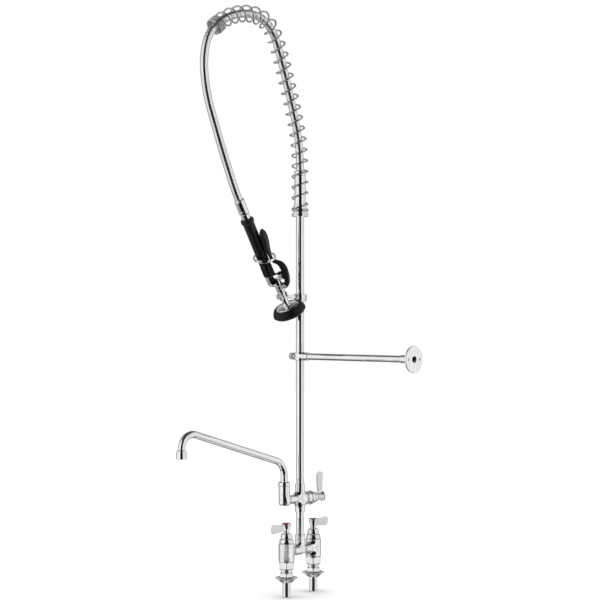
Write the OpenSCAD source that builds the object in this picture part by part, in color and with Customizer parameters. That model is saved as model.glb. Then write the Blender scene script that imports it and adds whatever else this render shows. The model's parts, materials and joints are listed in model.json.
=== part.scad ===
// Deck-mounted pre-rinse faucet with an add-on swing spout.
// Millimetres. The origin is on the deck plane, midway between the two inlet shanks.
// +X runs from the hot valve to the cold valve, -Y faces the user, +Z is up.

/* [Inlets and base] */
// Distance between the hot and cold inlet centres
inlet_spacing = 101.6; // [96:0.1:106]
// Outer radius of the inlet shanks
shank_r = 8.7; // [8:0.1:9]
// Length of the shank below the deck
shank_drop = 32; // [25:1:60]
// Outer radius of a valve barrel
barrel_r = 17.6; // [16:0.1:19]
// Height of the top of a valve barrel
barrel_top = 84.5; // [82:0.5:88]
// Rim radius of a deck flange
flange_r = 25.5; // [22:0.5:30]

/* [Riser] */
// Outer radius of the riser pipe
riser_r = 9; // [8.5:0.1:9.4]
// Wall of the riser pipe
riser_wall = 1.6; // [1:0.1:2.5]
// Height of the top end of the riser pipe
riser_top = 812; // [811:1:813]
// Turn of the riser assembly about the riser, from the line of the inlets
upper_turn = 10; // [0:1:20]

/* [Add-on faucet] */
// Height of the cross axis of the add-on faucet
addon_z = 178; // [176:1:180]
// Distance from the riser to the swivel hub of the spout
hub_reach = 48.5; // [46:0.5:52]
// Reach of the spout, from its swivel axis to its outlet
spout_reach = 295; // [250:5:340]
// Outer radius of the spout tube
spout_r = 7.9; // [7.5:0.1:8]
// Rise of the straight run of the spout above the horizontal
spout_rise = 16.5; // [12:0.5:20]

/* [Wall bracket] */
// Height of the wall bracket's tube
bracket_z = 491; // [400:1:560]
// Distance from the riser to the wall face of the flange
bracket_reach = 318; // [260:1:400]
// Direction of the wall bracket, from +X
bracket_turn = -96; // [-110:1:-80]
// Radius of the wall flange
wall_flange_r = 28.5; // [26:0.5:34]

/* [Spray valve] */
// Distance from the riser to the middle of the bumper
head_reach = 44.5; // [44:0.5:48]
// Sideways distance from the riser's arc plane to the middle of the bumper
head_side = 12.5; // [12:0.5:14]
// Height of the middle of the bumper
head_z = 589.5; // [588:0.5:592]
// Lean of the spray valve from the vertical
head_lean = 29.5; // [28:0.5:31]
// Turn of the trigger about the spray valve's axis
trigger_turn = 115; // [110:1:120]
// Radius of the rubber bumper
bumper_r = 37; // [35:0.5:37]

/* [Hose and spring] */
// Outer radius of the hose
hose_r = 8.75; // [8:0.05:9]
// Radius of the middle of the spring's wire about the hose
spring_r = 17; // [16:0.1:17]
// Radius of the spring's wire
spring_wire_r = 1.9; // [1.5:0.1:2.1]
// Open turns of the spring
spring_turns = 24; // [20:1:30]

/* [Hidden] */
$fn = 64;
EPS = 0.01;
RUN = 0.05;                       // radial gap of a running fit
SLEEVE = 0.05;                    // wall and half length of the sleeves along the spout
SLEEVE_L = 0.6;

// colours
CHROME = [0.80, 0.82, 0.84];
STEEL = [0.66, 0.68, 0.70];
BRASS = [0.80, 0.66, 0.36];
RUBBER = [0.08, 0.08, 0.09];
CERAMIC = [0.93, 0.93, 0.90];

// base and valves
inlet_x = inlet_spacing / 2;
shank_bore_r = 6;
shank_relief = 0.3;
shank_head_r = 12;
lock_nut_r = 16.4;
lock_nut_z = [9, 21.5];
flange_h = 11;
flange_foot_r = 12.5;
nut_z = [28.5, 45.5];
nut_flat_r = 16.6;                // centre to flat of the coupling nuts
nut_turn = 35.5;
barrel_bottom = nut_z[1] - 8;
barrel_spigot_r = 13;
bridge_z = 65;
bridge_r = 9.5;
socket_top = 100;
socket_r = 10.8;
socket_floor = 82;
passage_r = 5;
chamber_r = 11;
seat_z = barrel_top - 26.5;       // bottom of the valve chamber
disc_r = 9;
disc_t = 3;
disc_port = 0.3;                  // port radius and offset, as shares of the disc's radius
disc_port_at = 0.52;
stem_r = 4;
bonnet_h = 23;
bonnet_r = 15.6;
bonnet_neck_r = 6.4;
bonnet_neck_h = 2.5;
bonnet_spigot = 14;
handle_gap = 0.5;
hub_h = 18;
hub_small_r = 6.3;
hub_large_r = 10.6;
paddle_len = 56;
paddle_t = 5;
paddle_root_h = 13;
paddle_tip_h = 21;
paddle_corner_r = 6;
index_r = 9.4;
screw_r = 2;
screw_head_r = 3.8;
handle_base = barrel_top + bonnet_h + bonnet_neck_h + handle_gap;

// riser assembly
riser_bore_r = riser_r - riser_wall;
lower_socket_z = [149, 168];
lower_socket_r = 11.3;
upper_socket_z = [188, 211.5];
upper_socket_r = 10.8;
pipe_seat_low = 165;
pipe_seat_high = 194;
way_r = 6.5;
collar_z = [798, 806];
collar_r = 18.4;
spigot_top = 824;
spigot_r = spring_r - spring_wire_r - 0.4;
cuff_top = 900;
cuff_r = 12.6;
hose_bore_r = 5.5;

// add-on faucet
arm_r = 10;
tee_r = 13.5;
tee_h = 12;
tee_chamfer = 2.5;
hub_r = 12.2;
hub_z = [166, 208.5];
hub_bore_r = 10;
hub_bore_floor = 190;
hub_neck_r = 10.9;
hub_neck_top = 214.5;
spout_nut_r = 13.3;
spout_nut_top = 218.5;
spout_nut_lip = 2;
addon_face = 26;                  // outer face of the add-on valve's barrel
addon_barrel_r = 14.6;
addon_disc_r = 7.4;
addon_chamber_r = 7.5;
addon_seat_x = -20;
addon_disc_t = 2.5;
addon_handle_x = addon_face + bonnet_h + bonnet_neck_h + handle_gap;

// spout
spout_bore_r = spout_r - 1.2;
spout_foot_z = 194;
spout_collar_z = [212, 216];
spout_collar_r = 9.9;
spout_bend_z = 233;
spout_bend_r = 34;
spout_far_bend_r = 30;
spout_turn_up = 90 - spout_rise;
spout_run_x = spout_bend_r * (1 - cos(spout_turn_up));
spout_run_z = spout_bend_z + spout_bend_r * sin(spout_turn_up);
spout_far_x = spout_reach - spout_far_bend_r * (1 + sin(spout_rise));
spout_far_z = spout_run_z + (spout_far_x - spout_run_x) * tan(spout_rise);
spout_run_len = (spout_far_x - spout_run_x) / cos(spout_rise);
spout_end_z = spout_far_z - spout_far_bend_r * cos(spout_rise);
outlet_h = 20;
outlet_taper = 8;
outlet_r = 11;
outlet_lip = 3;
oring_r = 1;

// wall bracket
bracket_tube_r = 7.5;
clamp_h = 18;
clamp_r = 12.5;
bracket_socket = [9, 26];
bracket_tube_from = 14;
wall_plate_t = 4;
wall_collar_l = 34;
wall_collar_r = 8.9;
wall_hole_r = 2.6;
wall_hole_pcd = 37;
bracket_screw_r = 3;
bracket_screw_x = [riser_r, 27];

// hook on the riser
hook_z = [611, 629];
hook_r = 12.5;
hook_arm_z = [618.5, 626.5];
hook_arm_y = [-4, 0];
cradle_v = [33, 45];
cradle_in_r = 7.4;
cradle_out_r = 10.8;
cradle_prong = 6;
hook_screw_r = 3;
hook_screw_x = [riser_r, 20];

// spray valve, along its own axis from the middle of the bumper
grip_x = -11.2;                   // grip axis beside the outlet axis
neck_r = 6.6;
neck_v = [10, 50];
band_r = 9.6;
band_v = [49, 52];
trunk_r = 9;
trunk_top = 84;
valve_v = 87;
housing_r = 8.2;
valve_bowl_r = 11.3;
valve_bowl_v = [77, 93.2];
handle_tube_r = 8;
handle_tube_v = [93.2, 240];
cap_v = [93.5, 120];
cap_r = 12.6;
cap_ribs = 18;
grip_v = [120.3, 231];
grip_r = 12.4;
grip_rim_r = 14.6;
grip_rim_h = 9;
hose_nut_v = [232, 243];
hose_nut_r = 9.6;
ferrule_v = [243.2, 277];
ferrule_r = 11;
poppet_x = [-8.5, -6.9];
poppet_r = 5;
poppet_bore_r = 5.6;
poppet_bore_end = -20;
seat_x = [-6, -4];
seat_r = 3.5;
plunger_r = 2;
spray_way_r = 3;
plunger_tip = 26.8;
packing_x = [10.5, 18.2];
packing_r = 10.2;
pivot = [16, 63];
pin_r = 2;
ear_y = [6.4, 9];
ear_r = 4.6;
ear_mid = (ear_y[0] + ear_y[1]) / 2;
ear_t = ear_y[1] - ear_y[0];
trigger_w = 12;
trigger_eye_r = 4.6;
trigger_wall_t = 2.2;
TRIGGER = [
    [16, 57.5], [21, 59.5], [26, 66], [29.3, 75], [31.5, 85], [32.5, 96], [31.8, 106], [27.5, 115],
    [20.5, 120.5], [14, 124.2], [10.4, 129], [9.4, 135], [9.8, 142], [11.4, 156], [13.8, 170],
    [15.2, 184], [14.8, 195], [12.6, 202.5], [10.4, 205], [9.6, 202], [11, 192], [11.6, 182], [10.4, 170],
    [8.2, 156], [6.6, 142], [5.8, 134], [7, 126.5], [10.5, 121], [15.5, 117], [19, 111], [20.3, 103],
    [20.3, 90], [19.6, 78], [17, 69], [12, 66]
];
// the inside of the lever's channel
TRIGGER_SLOT = [[10, 69], [22, 68], [25.6, 76], [27.6, 86], [28.5, 96], [27.8, 105], [24.2, 112], [18, 117],
    [10, 112]];
// the lever's upper end: its two sides seen from the side, its outline seen from the front
BLADE_SIDE = [[5.8, 139], [9.6, 139], [11.2, 155], [13.6, 170], [15, 184], [14.6, 195], [12.4, 202.5],
    [10.4, 205], [7, 199], [5.5, 188], [5.5, 150]];
BLADE_FRONT = [[-5, 139], [5, 139], [7.8, 148], [10.2, 160], [11, 174], [10.8, 188], [9, 198], [5.5, 204],
    [0, 206], [-5.5, 204], [-9, 198], [-10.8, 188], [-11, 174], [-10.2, 160], [-7.8, 148]];
blade_side_t = 2.6;
face_r = 26.6;
face_plate_r = 24;
face_boss_r = 6;                  // boss that takes the screw and feeds the spray chamber
face_way_end = 6.5;
ring_r = 23.3;
ring_t = 2.4;
ring_h = 5;
ring_at = [-6.4, 136];
ring_lean = 16;
pressed_spring = [-19.5, -11];

// route of the hose: distance from the riser, sideways, height
HOSE = [
    [0, 0, 900], [1, 0, 930], [4, 0, 960], [10, 0, 990], [18, 0, 1020],
    [27, 0, 1050], [37, 0, 1080], [47, 0, 1110], [57, 0, 1138], [67, 0, 1164],
    [78, 0, 1187], [93, 0, 1207], [114, 0, 1221], [139, 0, 1227], [165, 0, 1227],
    [191, 0, 1222], [216, 0, 1213], [239, 0, 1200], [259, 0, 1183], [272, 0, 1162],
    [279, 0, 1137], [281.5, 0, 1110], [279.5, 0, 1083], [274.5, 0, 1056], [267.5, 0, 1030],
    [259, 0.2, 1006], [249.5, 0.5, 981], [239, 0.8, 953], [228, 1.2, 925], [217, 1.5, 898],
    [206.5, 2, 872.5], [195.5, 2.3, 848], [185.2, 2.3, 828.7]
];
SPRING_BASE = 810;                // height of the spring's lowest turn
SPRING_END = 18;                  // the spring ends at this point of the hose's route
HOSE_SIDES = 10;
WIRE_SIDES = 6;
TURN_STEPS = 12;
CLOSED_BASE = 2;                  // closed turns at the foot of the spring
CLOSED_BASE_SPAN = 9;             // their length along the spring's centre line
CLOSED_END = 4;                   // closed turns at its far end
CLOSED_END_SPAN = 17;
SPRING_CUT = 9;                   // how far short of its last route point the spring ends
// centre line of the spring: straight up from its base, then along the hose
SPRING_LINE = concat([for (z = [SPRING_BASE : 30 : HOSE[0][2] - 1]) [0, 0, z]],
    [for (i = [0 : SPRING_END]) HOSE[i]]);
SPRING_STEPS = len(SPRING_LINE) - 1;
// [length along that line, step] for each of its points
SPRING_AT = [for (i = 0, s = 0; i <= SPRING_STEPS;
    s = s + (i < SPRING_STEPS ? norm(SPRING_LINE[i + 1] - SPRING_LINE[i]) : 0), i = i + 1) [s, i]];
SPRING_LEN = SPRING_AT[SPRING_STEPS][0] - SPRING_CUT;

// ---------------------------------------------------------------- helpers
module each_inlet() {
    for (side = [-1, 1]) translate([side * inlet_x, 0, 0]) children();
}
module at_hot() { translate([-inlet_x, 0, 0]) children(); }
module at_cold() { translate([inlet_x, 0, 0]) rotate([0, 0, 180]) children(); }
module upper() { rotate([0, 0, -upper_turn]) children(); }
// the arc plane: x away from the riser towards the spray valve
module arc_plane() { rotate([0, 0, 180 - upper_turn]) children(); }
// z runs up the spray valve's axis, x lies in the arc plane
module head_axis() {
    arc_plane() translate([head_reach, head_side, head_z]) rotate([0, head_lean, 0]) children();
}
// as head_axis, with x towards the trigger
module head() { head_axis() rotate([0, 0, trigger_turn]) children(); }
module grip_axis() { head() translate([grip_x, 0, 0]) children(); }
// z runs outwards along the add-on faucet's cross axis
module cross_axis() { upper() translate([0, 0, addon_z]) rotate([0, 90, 0]) children(); }
module at_hub() { upper() translate([-hub_reach, 0, 0]) rotate([0, 0, 180]) children(); }
module at_bracket() { rotate([0, 0, bracket_turn]) translate([0, 0, bracket_z]) children(); }
// z along +x
module along_x() { rotate([0, 90, 0]) children(); }

module rod(r, z0, z1) { translate([0, 0, z0]) cylinder(r = r, h = z1 - z0); }
module tube(r, bore, z0, z1) {
    difference() {
        rod(r, z0, z1);
        rod(bore, z0 - 1, z1 + 1);
    }
}
module cone(r0, r1, z0, z1) { translate([0, 0, z0]) cylinder(r1 = r0, r2 = r1, h = z1 - z0); }
module spin(points) { rotate_extrude() polygon(points); }
module hex_nut(flat_r, bore, z0, z1) {
    difference() {
        translate([0, 0, z0]) cylinder(r = flat_r / cos(30), h = z1 - z0, $fn = 6);
        rod(bore, z0 - 1, z1 + 1);
    }
}

// smooth curve through points: position at parameter t, and its direction
function pick(p, i) = p[max(0, min(len(p) - 1, i))];
function spline(p, t) =
    let (i = min(len(p) - 2, floor(t)), f = t - i,
         a = pick(p, i - 1), b = p[i], c = p[i + 1], d = pick(p, i + 2))
    0.5 * (2 * b + (c - a) * f + (2 * a - 5 * b + 4 * c - d) * f * f
        + (3 * b - a - 3 * c + d) * f * f * f);
function unit(v) = v / norm(v);
function heading(p, t) =
    let (s = 0.02, n = len(p) - 1)
    unit(spline(p, min(n, t + s)) - spline(p, max(0, t - s)));
// ring of points around a centre, square to a direction
function ring(centre, dir, r, sides, side_dir) =
    let (u = unit(side_dir - (side_dir * dir) * dir), v = cross(dir, u))
    [for (k = [0 : sides - 1]) centre + r * (cos(360 * k / sides) * u + sin(360 * k / sides) * v)];
// a closed tube through a list of rings that all have the same number of points
module skin(rings, sides) {
    n = len(rings);
    points = [for (one = rings) each one];
    walls = [for (i = [0 : n - 2], k = [0 : sides - 1])
        let (a = i * sides + k, b = i * sides + (k + 1) % sides)
        each [[a, b, b + sides], [a, b + sides, a + sides]]];
    near = [for (k = [1 : sides - 2]) [0, k + 1, k]];
    far = [for (k = [1 : sides - 2]) let (o = (n - 1) * sides) [o, o + k, o + k + 1]];
    polyhedron(points = points, faces = concat(walls, near, far), convexity = 6);
}

// ---------------------------------------------------------------- base
module base_body() {
    color(CHROME) difference() {
        union() {
            each_inlet() rod(barrel_r, nut_z[1] + 0.3, barrel_top);
            each_inlet() rod(barrel_spigot_r, barrel_bottom, nut_z[1] + 1);
            translate([-inlet_x, 0, bridge_z]) along_x() cylinder(r = bridge_r, h = inlet_spacing);
            for (side = [-1, 1]) translate([side * inlet_x, 0, bridge_z]) rotate([0, -side * 90, 0])
                cone(barrel_r - 0.5, bridge_r, 6, 30);
            rod(socket_r, bridge_z, socket_top);
            cone(bridge_r + 4, socket_r, bridge_z + 4, bridge_z + 16);
        }
        each_inlet() rod(chamber_r, seat_z, barrel_top + 1);
        each_inlet() rod(passage_r, barrel_bottom - 1, seat_z + 1);
        translate([-inlet_x, 0, bridge_z]) along_x() cylinder(r = passage_r, h = inlet_spacing);
        rod(way_r, bridge_z, socket_floor + 1);
        rod(riser_r, socket_floor, socket_top + 1);
    }
}
module inlet_shanks() {
    color(CHROME) each_inlet() difference() {
        union() {
            rod(shank_r, -shank_drop, -shank_relief);
            rod(shank_r - shank_relief, -1, nut_z[0] + 3);
            rod(shank_head_r, nut_z[0] - 6, barrel_bottom - 2);
        }
        rod(shank_bore_r, -shank_drop - 1, barrel_bottom);
    }
}
module coupling_nuts() {
    color(CHROME) each_inlet() rotate([0, 0, nut_turn]) difference() {
        intersection() {
            translate([0, 0, nut_z[0]]) cylinder(r = nut_flat_r / cos(30), h = nut_z[1] - nut_z[0], $fn = 6);
            union() {
                cone(nut_flat_r - 0.4, nut_flat_r / cos(30), nut_z[0], nut_z[0] + 2);
                rod(nut_flat_r / cos(30), nut_z[0] + 2, nut_z[1] - 2);
                cone(nut_flat_r / cos(30), nut_flat_r - 0.4, nut_z[1] - 2, nut_z[1]);
            }
        }
        rod(shank_head_r, nut_z[0] - 1, nut_z[0] + 5);
        rod(barrel_spigot_r, nut_z[0] + 4, nut_z[1] + 1);
    }
}
module shank_washers() {
    color(RUBBER) each_inlet() tube(barrel_spigot_r - 1.2, shank_bore_r, barrel_bottom - 2, barrel_bottom);
}
module lock_nuts() {
    color(CHROME) each_inlet() rotate([0, 0, nut_turn])
        hex_nut(lock_nut_r * cos(30), shank_r - shank_relief, lock_nut_z[0], lock_nut_z[1]);
}
module deck_flanges() {
    color(CHROME) each_inlet() difference() {
        union() {
            cone(flange_foot_r, flange_r - 0.4, 0, flange_h - 1);
            rod(flange_r, flange_h - 1, flange_h);
        }
        difference() {
            cone(flange_foot_r + 1.5, flange_r - 1, 3, flange_h + EPS);
            rod(flange_foot_r + 2, 0, lock_nut_z[0]);
        }
        rod(shank_r + shank_relief, -1, flange_h + 1);
        rod(lock_nut_r + 0.4, lock_nut_z[0], flange_h + 1);
    }
}

// ---------------------------------------------------------------- quarter-turn valves
module bonnet_shape(spigot, spigot_r, bore) {
    difference() {
        spin([[0, -spigot], [spigot_r, -spigot], [spigot_r, 0], [bonnet_r, 0], [bonnet_r, 4],
            [bonnet_r - 0.4, 9], [bonnet_r - 1.4, 14], [bonnet_r - 3.2, 19],
            [bonnet_r - 6, bonnet_h - 1], [bonnet_neck_r, bonnet_h],
            [bonnet_neck_r, bonnet_h + bonnet_neck_h], [0, bonnet_h + bonnet_neck_h]]);
        rod(bore, -spigot - 1, bonnet_h + bonnet_neck_h + 1);
    }
}
module handle_shape() {
    color(CHROME) difference() {
        union() {
            cone(hub_small_r, hub_large_r, 0, hub_h - 3);
            rod(hub_large_r, hub_h - 3, hub_h);
            rotate([90, 0, 0]) translate([0, 0, -paddle_t / 2])
                linear_extrude(height = paddle_t) paddle_outline();
        }
        rod(stem_r, -1, 12);
        rod(screw_r, 11, hub_h);
        rod(screw_head_r + 0.2, 14, hub_h + 1);
        rod(index_r + 0.05, hub_h - 2, hub_h + 1);
    }
}
module paddle_outline() {
    tip = -paddle_len + paddle_corner_r;
    mid = hub_h / 2;
    half = paddle_tip_h / 2;
    polygon([[-4, mid - paddle_root_h / 2], [-4, mid + paddle_root_h / 2], [-16, mid + paddle_root_h / 2],
        [tip, mid + half], [tip, mid - half], [-16, mid - paddle_root_h / 2]]);
    for (side = [-1, 1]) translate([tip, mid + side * (half - paddle_corner_r)]) circle(r = paddle_corner_r);
    translate([-paddle_len, mid - half + paddle_corner_r])
        square([paddle_corner_r, paddle_tip_h - 2 * paddle_corner_r]);
}
module index_shape(tint) {
    color(tint) spin([[0, hub_h - 2], [index_r, hub_h - 2], [index_r, hub_h + 0.3],
        [index_r - 1.2, hub_h + 1.2], [0, hub_h + 1.8]]);
}
module screw_shape() {
    color(STEEL) difference() {
        union() {
            rod(screw_r, 12.2, 14);
            rod(screw_head_r, 14, hub_h - 2.2);
        }
        translate([0, 0, hub_h - 3.4]) cylinder(r = 1.6, h = 2, $fn = 6);
    }
}
module disc_shape(r, t) {
    color(CERAMIC) difference() {
        cylinder(r = r, h = t);
        for (side = [0, 180]) rotate([0, 0, side]) translate([r * disc_port_at, 0, -1])
            cylinder(r = r * disc_port, h = t + 2);
    }
}
module stem_shape(foot_r, foot_z, top_z) {
    color(BRASS) union() {
        rod(foot_r, foot_z, foot_z + 3);
        rod(stem_r - RUN, foot_z, top_z);
    }
}
module valve_bonnets() {
    color(CHROME) each_inlet() translate([0, 0, barrel_top]) bonnet_shape(bonnet_spigot, chamber_r, stem_r);
}
module valve_seats() { each_inlet() translate([0, 0, seat_z + 3]) disc_shape(disc_r, disc_t); }
module seat_seals() { color(RUBBER) each_inlet() tube(disc_r, passage_r, seat_z, seat_z + 3); }
module hot_stem() { at_hot() stem_shape(disc_r - 1, seat_z + 9, handle_base + 12); }
module cold_stem() { at_cold() stem_shape(disc_r - 1, seat_z + 9, handle_base + 12); }
module hot_disc() { at_hot() translate([0, 0, seat_z + 6 + RUN]) disc_shape(disc_r, disc_t - RUN); }
module cold_disc() { at_cold() translate([0, 0, seat_z + 6 + RUN]) disc_shape(disc_r, disc_t - RUN); }
module hot_handle() { at_hot() translate([0, 0, handle_base]) handle_shape(); }
module cold_handle() { at_cold() translate([0, 0, handle_base]) handle_shape(); }
module hot_index() { at_hot() translate([0, 0, handle_base]) index_shape([0.75, 0.08, 0.08]); }
module cold_index() { at_cold() translate([0, 0, handle_base]) index_shape([0.10, 0.25, 0.70]); }
module hot_screw() { at_hot() translate([0, 0, handle_base]) screw_shape(); }
module cold_screw() { at_cold() translate([0, 0, handle_base]) screw_shape(); }

// ---------------------------------------------------------------- add-on faucet
module lower_nipple() { color(CHROME) upper() tube(riser_r, riser_bore_r, socket_floor, pipe_seat_low); }
module addon_body() {
    color(CHROME) difference() {
        union() {
            upper() rod(lower_socket_r, lower_socket_z[0], lower_socket_z[1]);
            upper() rod(upper_socket_r, upper_socket_z[0], upper_socket_z[1]);
            upper() translate([0, 0, addon_z]) spin([[0, -tee_h], [lower_socket_r, -tee_h],
                [tee_r, -tee_h + tee_chamfer], [tee_r, tee_h - tee_chamfer],
                [lower_socket_r, tee_h], [0, tee_h]]);
            cross_axis() rod(arm_r, -hub_reach, 14);
            cross_axis() cone(arm_r, addon_barrel_r, 8, 14);
            cross_axis() rod(addon_barrel_r, 14, addon_face);
            at_hub() rod(hub_r, hub_z[0] + 5, hub_z[1]);
            at_hub() cone(hub_r - 5, hub_r, hub_z[0], hub_z[0] + 5);
            at_hub() rod(hub_neck_r, hub_z[1] - 1, hub_neck_top);
        }
        upper() rod(riser_r, lower_socket_z[0] - 1, pipe_seat_low);
        upper() rod(way_r, pipe_seat_low - 1, pipe_seat_high + 1);
        upper() rod(riser_r, pipe_seat_high, upper_socket_z[1] + 1);
        cross_axis() rod(chamber_r, 12, addon_face + 1);
        cross_axis() rod(addon_chamber_r, addon_seat_x, 13);
        cross_axis() rod(passage_r - 0.5, -hub_reach, addon_seat_x + 1);
        at_hub() rod(hub_bore_r, hub_bore_floor, hub_neck_top + 1);
        at_hub() rod(passage_r, addon_z, hub_bore_floor + 1);
    }
}
module addon_bonnet() {
    color(CHROME) cross_axis() translate([0, 0, addon_face])
        bonnet_shape(bonnet_spigot - 0.2, chamber_r, stem_r);
}
module addon_seat() {
    cross_axis() translate([0, 0, addon_seat_x]) disc_shape(addon_chamber_r, addon_disc_t);
}
module addon_disc() {
    cross_axis() translate([0, 0, addon_seat_x + addon_disc_t + RUN]) disc_shape(addon_disc_r, addon_disc_t);
}
module addon_stem() {
    cross_axis() stem_shape(addon_disc_r - 1, addon_seat_x + 2 * addon_disc_t + RUN, addon_handle_x + 12);
}
module addon_handle() { cross_axis() translate([0, 0, addon_handle_x]) handle_shape(); }
module addon_index() { cross_axis() translate([0, 0, addon_handle_x]) index_shape([0.72, 0.74, 0.77]); }
module addon_screw() { cross_axis() translate([0, 0, addon_handle_x]) screw_shape(); }

// ---------------------------------------------------------------- spout
// each straight run laps a bend by a thin sleeve, so that the runs and bends are one piece
module spout_path(r) {
    rod(r, spout_foot_z, spout_bend_z);
    rod(r + SLEEVE, spout_bend_z - SLEEVE_L, spout_bend_z + SLEEVE_L);
    translate([spout_bend_r, 0, spout_bend_z]) {
        rotate([90, 0, 180]) rotate_extrude(angle = spout_turn_up) translate([spout_bend_r, 0]) circle(r = r);
        rotate([0, spout_turn_up, 0]) translate([-spout_bend_r, 0, 0]) {
            rod(r, 0, spout_run_len);
            rod(r + SLEEVE, -SLEEVE_L, SLEEVE_L);
            rod(r + SLEEVE, spout_run_len - SLEEVE_L, spout_run_len + SLEEVE_L);
            translate([spout_far_bend_r, 0, spout_run_len]) rotate([90, 0, 180])
                rotate_extrude(angle = 90 + spout_rise) translate([spout_far_bend_r, 0]) circle(r = r);
        }
    }
}
module spout_tube() {
    color(CHROME) at_hub() difference() {
        union() {
            spout_path(spout_r);
            rod(spout_collar_r, spout_collar_z[0], spout_collar_z[1]);
            translate([spout_reach, 0, 0])
                rod(spout_r + SLEEVE, spout_end_z - outlet_h + outlet_lip, spout_end_z + SLEEVE_L);
        }
        spout_path(spout_bore_r);
        rod(spout_bore_r, spout_foot_z - 1, spout_foot_z + 2);
        translate([spout_reach, 0, 0])
            rod(spout_bore_r + SLEEVE, spout_end_z - outlet_h, spout_end_z + SLEEVE_L);
    }
}
module spout_nut() {
    color(CHROME) at_hub() difference() {
        union() {
            rod(spout_nut_r, hub_z[1], spout_nut_top - 1.5);
            cone(spout_nut_r, spout_nut_r - 1.5, spout_nut_top - 1.5, spout_nut_top);
        }
        rod(hub_neck_r, hub_z[1] - 1, spout_nut_top - spout_nut_lip);
        rod(spout_r + RUN, hub_z[1], spout_nut_top + 1);
    }
}
module spout_orings() {
    color(RUBBER) at_hub() for (z = [197.5, 201.5]) translate([0, 0, z])
        rotate_extrude() translate([spout_r + oring_r, 0]) circle(r = oring_r, $fn = 24);
}
module spout_outlet() {
    color(CHROME) at_hub() translate([spout_reach, 0, spout_end_z - outlet_h]) difference() {
        union() {
            rod(outlet_r, 0, outlet_h - outlet_taper);
            cone(outlet_r, spout_r + 1, outlet_h - outlet_taper, outlet_h);
        }
        rod(spout_r + SLEEVE, outlet_lip, outlet_h + 1);
        rod(spout_r - 0.6, -1, outlet_lip + 1);
    }
}
module outlet_screen() {
    color(STEEL) at_hub() translate([spout_reach, 0, spout_end_z - outlet_h + 1]) difference() {
        cylinder(r = spout_r - 0.6, h = 1);
        for (a = [0 : 60 : 300]) rotate([0, 0, a]) translate([4.2, 0, -1]) cylinder(r = 1.2, h = 3);
        translate([0, 0, -1]) cylinder(r = 1.2, h = 3);
    }
}

// ---------------------------------------------------------------- riser, hose and spring
module riser_pipe() { color(CHROME) tube(riser_r, riser_bore_r, pipe_seat_high, riser_top); }
module spring_collar() {
    color(CHROME) difference() {
        union() {
            rod(collar_r, collar_z[0], collar_z[1]);
            rod(spigot_r, collar_z[1] - 1, spigot_top);
        }
        rod(riser_r, collar_z[0] - 1, riser_top);
        rod(hose_bore_r, riser_top - 1, spigot_top + 1);
    }
}
module hose_cuff() { color(CHROME) tube(cuff_r, hose_bore_r, spigot_top, cuff_top); }
module hose() {
    steps = [for (i = [0 : len(HOSE) - 1]) i];
    rings = [for (t = steps)
        ring(HOSE[t], t == 0 ? [0, 0, 1] : heading(HOSE, t), hose_r, HOSE_SIDES, [0, 1, 0])];
    color(STEEL) arc_plane() skin(rings, HOSE_SIDES);
}
// place along the spring's centre line after a number of turns
function line_at(turn) =
    let (a = CLOSED_BASE_SPAN, b = SPRING_LEN - CLOSED_END_SPAN, open_end = CLOSED_BASE + spring_turns,
         s = turn < CLOSED_BASE ? a * turn / CLOSED_BASE
             : turn < open_end ? a + (b - a) * (turn - CLOSED_BASE) / spring_turns
             : b + CLOSED_END_SPAN * (turn - open_end) / CLOSED_END)
    lookup(s, SPRING_AT);
function coil_point(turn) =
    let (t = line_at(turn), c = spline(SPRING_LINE, t), d = heading(SPRING_LINE, t),
         v = [0, 1, 0], u = cross(v, d))
    c + spring_r * (cos(360 * turn) * u + sin(360 * turn) * v);
module spring_guard() {
    total = CLOSED_BASE + spring_turns + CLOSED_END;
    count = total * TURN_STEPS;
    path = [for (i = [0 : count]) coil_point(i / TURN_STEPS)];
    rings = [for (i = [0 : count])
        let (d = unit(path[min(count, i + 1)] - path[max(0, i - 1)]), t = line_at(i / TURN_STEPS))
        ring(path[i], d, spring_wire_r, WIRE_SIDES, path[i] - spline(SPRING_LINE, t))];
    color(CHROME) arc_plane() skin(rings, WIRE_SIDES);
}

// ---------------------------------------------------------------- hook
module hook() {
    color(CHROME) difference() {
        union() {
            arc_plane() rod(hook_r, hook_z[0], hook_z[1]);
            arc_plane() translate([0, hook_arm_y[0], hook_arm_z[0]])
                cube([head_reach + 20, hook_arm_y[1] - hook_arm_y[0], hook_arm_z[1] - hook_arm_z[0]]);
            head_axis() difference() {
                rod(cradle_out_r, cradle_v[0], cradle_v[1]);
                translate([-20, 0, cradle_v[0] - 1]) cube([40, 20, 20]);
            }
            head_axis() for (side = [-1, 1])
                translate([side > 0 ? cradle_in_r : -cradle_out_r, 0, cradle_v[0]])
                    cube([cradle_out_r - cradle_in_r, cradle_prong, cradle_v[1] - cradle_v[0]]);
            head_axis() translate([-6, -16, cradle_v[0] + 1]) cube([12, 7, cradle_v[1] - cradle_v[0] - 2]);
        }
        rod(riser_r, hook_z[0] - 1, hook_z[1] + 1);
        head_axis() rod(cradle_in_r, cradle_v[0] - 20, cradle_v[1] + 20);
        head_axis() translate([-cradle_in_r, 0, cradle_v[0] - 20]) cube([2 * cradle_in_r, 20, 50]);
        arc_plane() translate([0, 0, (hook_z[0] + hook_z[1]) / 2]) rotate([0, -90, 0])
            rod(hook_screw_r + RUN, 0, 20);
    }
}
module hook_screw() {
    color(CHROME) arc_plane() translate([0, 0, (hook_z[0] + hook_z[1]) / 2]) rotate([0, -90, 0]) union() {
        rod(hook_screw_r, hook_screw_x[0] + 0.1, hook_screw_x[1] - 5);
        rod(5, hook_screw_x[1] - 6, hook_screw_x[1] - 3);
        translate([-6.5, -1.2, hook_screw_x[1] - 5]) cube([13, 2.4, 7]);
    }
}

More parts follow.
